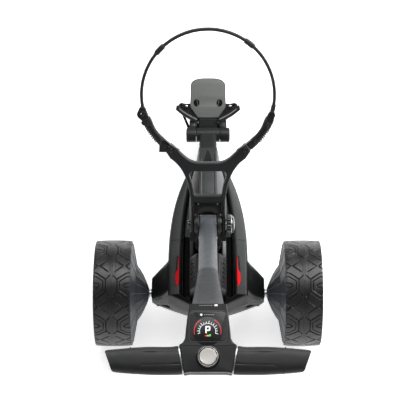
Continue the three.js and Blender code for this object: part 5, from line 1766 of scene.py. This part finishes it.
front = place_at(*FRONT_AXLE)
front_lines = [
    ([(40, 22), (14, 16), (7, 8), (7, -8), (14, -16), (40, -22)], 0.9, 2.0),
    ([(40, 9), (17, 5), (17, -5), (40, -9)], 0.8, 1.8),
    ([(0, 20), (0, 34)], 0.9, 1.8),
    ([(40, 33), (12, 28.8), (5, 33)], 0.8, 1.6),
]
tyre(
    "tyre_front", FRONT_AXLE[1], FRONT_HALF, 84, 10, cell * 1.1, front_lines, [(2.6, 0.4, 0.4)], front,
    "front_wheel", "front_tyre", 2.2,
)
half_disc = [
    (5.4, -28), (12.6, -28), (13.4, -22), (18, -12), (74, -8), (78, -18), (78, -20.5), (83.6, -20.5),
]
disc = half_disc + [(r, -x) for r, x in reversed(half_disc)]
piece("front_wheel", "front_rim_disc", lathe(fillet(disc, 1.2, 3), 96), front, replaces=["front_rim"])
for side, sign in SIDES:
    ribs = []
    for k in range(12):
        loop = fillet([(-1.5, 17), (1.5, 17), (3.4, 75), (-3.4, 75)], 1.2, 3)
        ribs.append(plate([turned(loop, 2 * math.pi * k / 12)], 6.5, 13.2, 1.1, 2))
    piece(
        "front_wheel", f"front_rim_ribs_{side}", together(*ribs),
        front @ mirrored_if(sign) @ SIDEWAYS, "slate",
    )
    piece(
        "front_wheel", f"front_rim_band_{side}", ring_of(76.6, 73.6, 8, 16.5, 0.8, 96),
        front @ mirrored_if(sign),
    )
    piece(
        "front_wheel", f"front_hub_cap_{side}", ring_of(12.2, 5.6, 27.4, 30.4, 0.6, 48),
        front @ mirrored_if(sign), "steel",
    )

# ------------------------------------------------------------------ nodes shown as they are
for node, slot in (
    ("drive_gear", "steel"), ("motor_pinion", "steel"), ("motor_case", "steel"),
    ("gearbox_housing", "satin_black"), ("gearbox_cover", "satin_black"), ("control_unit", "gloss_black"),
):
    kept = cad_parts[node]
    kept.data.materials.clear()
    kept.data.materials.append(FINISH[slot])

# ------------------------------------------------------------------ floor, light and camera
scene = bpy.context.scene
floor_shader = Shader("studio_floor")
floor_shader.tones(floor_shader.noise(2, 2), (0.86, 0.86, 0.86), (0.88, 0.88, 0.88))
floor_shader.base.inputs["Roughness"].default_value = 0.9
floor_shader.base.inputs["Emission Color"].default_value = (1, 1, 1, 1)
floor_shader.base.inputs["Emission Strength"].default_value = 0.6
floor_shader.base.inputs["Specular IOR Level"].default_value = 0.1
floor_mesh = bpy.data.meshes.new("floor")
floor_mesh.from_pydata([(-9, -9, 0), (9, -9, 0), (9, 9, 0), (-9, 9, 0)], [], [(0, 1, 2, 3)])
floor_mesh.materials.append(floor_shader.material)
floor = bpy.data.objects.new("floor", floor_mesh)
scene.collection.objects.link(floor)


def soft_light(name, location, target, size, size_y, power):
    """A rectangular area light aimed at a point."""
    data = bpy.data.lights.new(name, "AREA")
    data.shape = "RECTANGLE"
    data.size, data.size_y, data.energy = size, size_y, power
    light = bpy.data.objects.new(name, data)
    light.location = location
    aim = Vector(target) - Vector(location)
    light.rotation_euler = aim.to_track_quat("-Z", "Y").to_euler()
    scene.collection.objects.link(light)


soft_light("top_key", (0.0, 1.3, 3.2), (0, 0, 0.2), 2.6, 2.0, 70)
soft_light("right_strip", (2.4, 0.6, 1.7), (0, 0, 0.35), 0.9, 2.6, 58)
soft_light("left_fill", (-2.8, 0.0, 1.6), (0, 0, 0.35), 1.2, 2.4, 8)
soft_light("rear_fill", (0.0, -2.6, 1.3), (0, -0.2, 0.6), 2.2, 0.8, 6)
soft_light("right_key", (1.9, 1.9, 2.3), (0, 0, 0.45), 0.8, 0.8, 60)

world = bpy.data.worlds.new("studio")
world.use_nodes = True
sky = world.node_tree
background = sky.nodes["Background"]
gradient = sky.nodes.new("ShaderNodeTexGradient")
turn = sky.nodes.new("ShaderNodeMapping")
turn.inputs["Rotation"].default_value = (0, math.radians(90), 0)
spot = sky.nodes.new("ShaderNodeTexCoord")
shade = sky.nodes.new("ShaderNodeValToRGB")
shade.color_ramp.elements[0].color = (0.8, 0.8, 0.81, 1)
shade.color_ramp.elements[1].color = (0.12, 0.12, 0.122, 1)
middle = shade.color_ramp.elements.new(0.35)
middle.color = (0.34, 0.34, 0.345, 1)
sky.links.new(spot.outputs["Generated"], turn.inputs["Vector"])
sky.links.new(turn.outputs["Vector"], gradient.inputs["Vector"])
sky.links.new(gradient.outputs["Fac"], shade.inputs["Fac"])
sky.links.new(shade.outputs["Color"], background.inputs["Color"])
background.inputs["Strength"].default_value = 1.0
scene.world = world
scene.view_settings.view_transform = "Standard"

camera_data = bpy.data.cameras.new("camera")
camera_data.lens = 124.14
camera_data.sensor_width = 36
camera = bpy.data.objects.new("camera", camera_data)
camera.location = (0, -1.29724, 3.7478)
camera.rotation_euler = (math.radians(22), 0, 0)
scene.collection.objects.link(camera)
scene.camera = camera
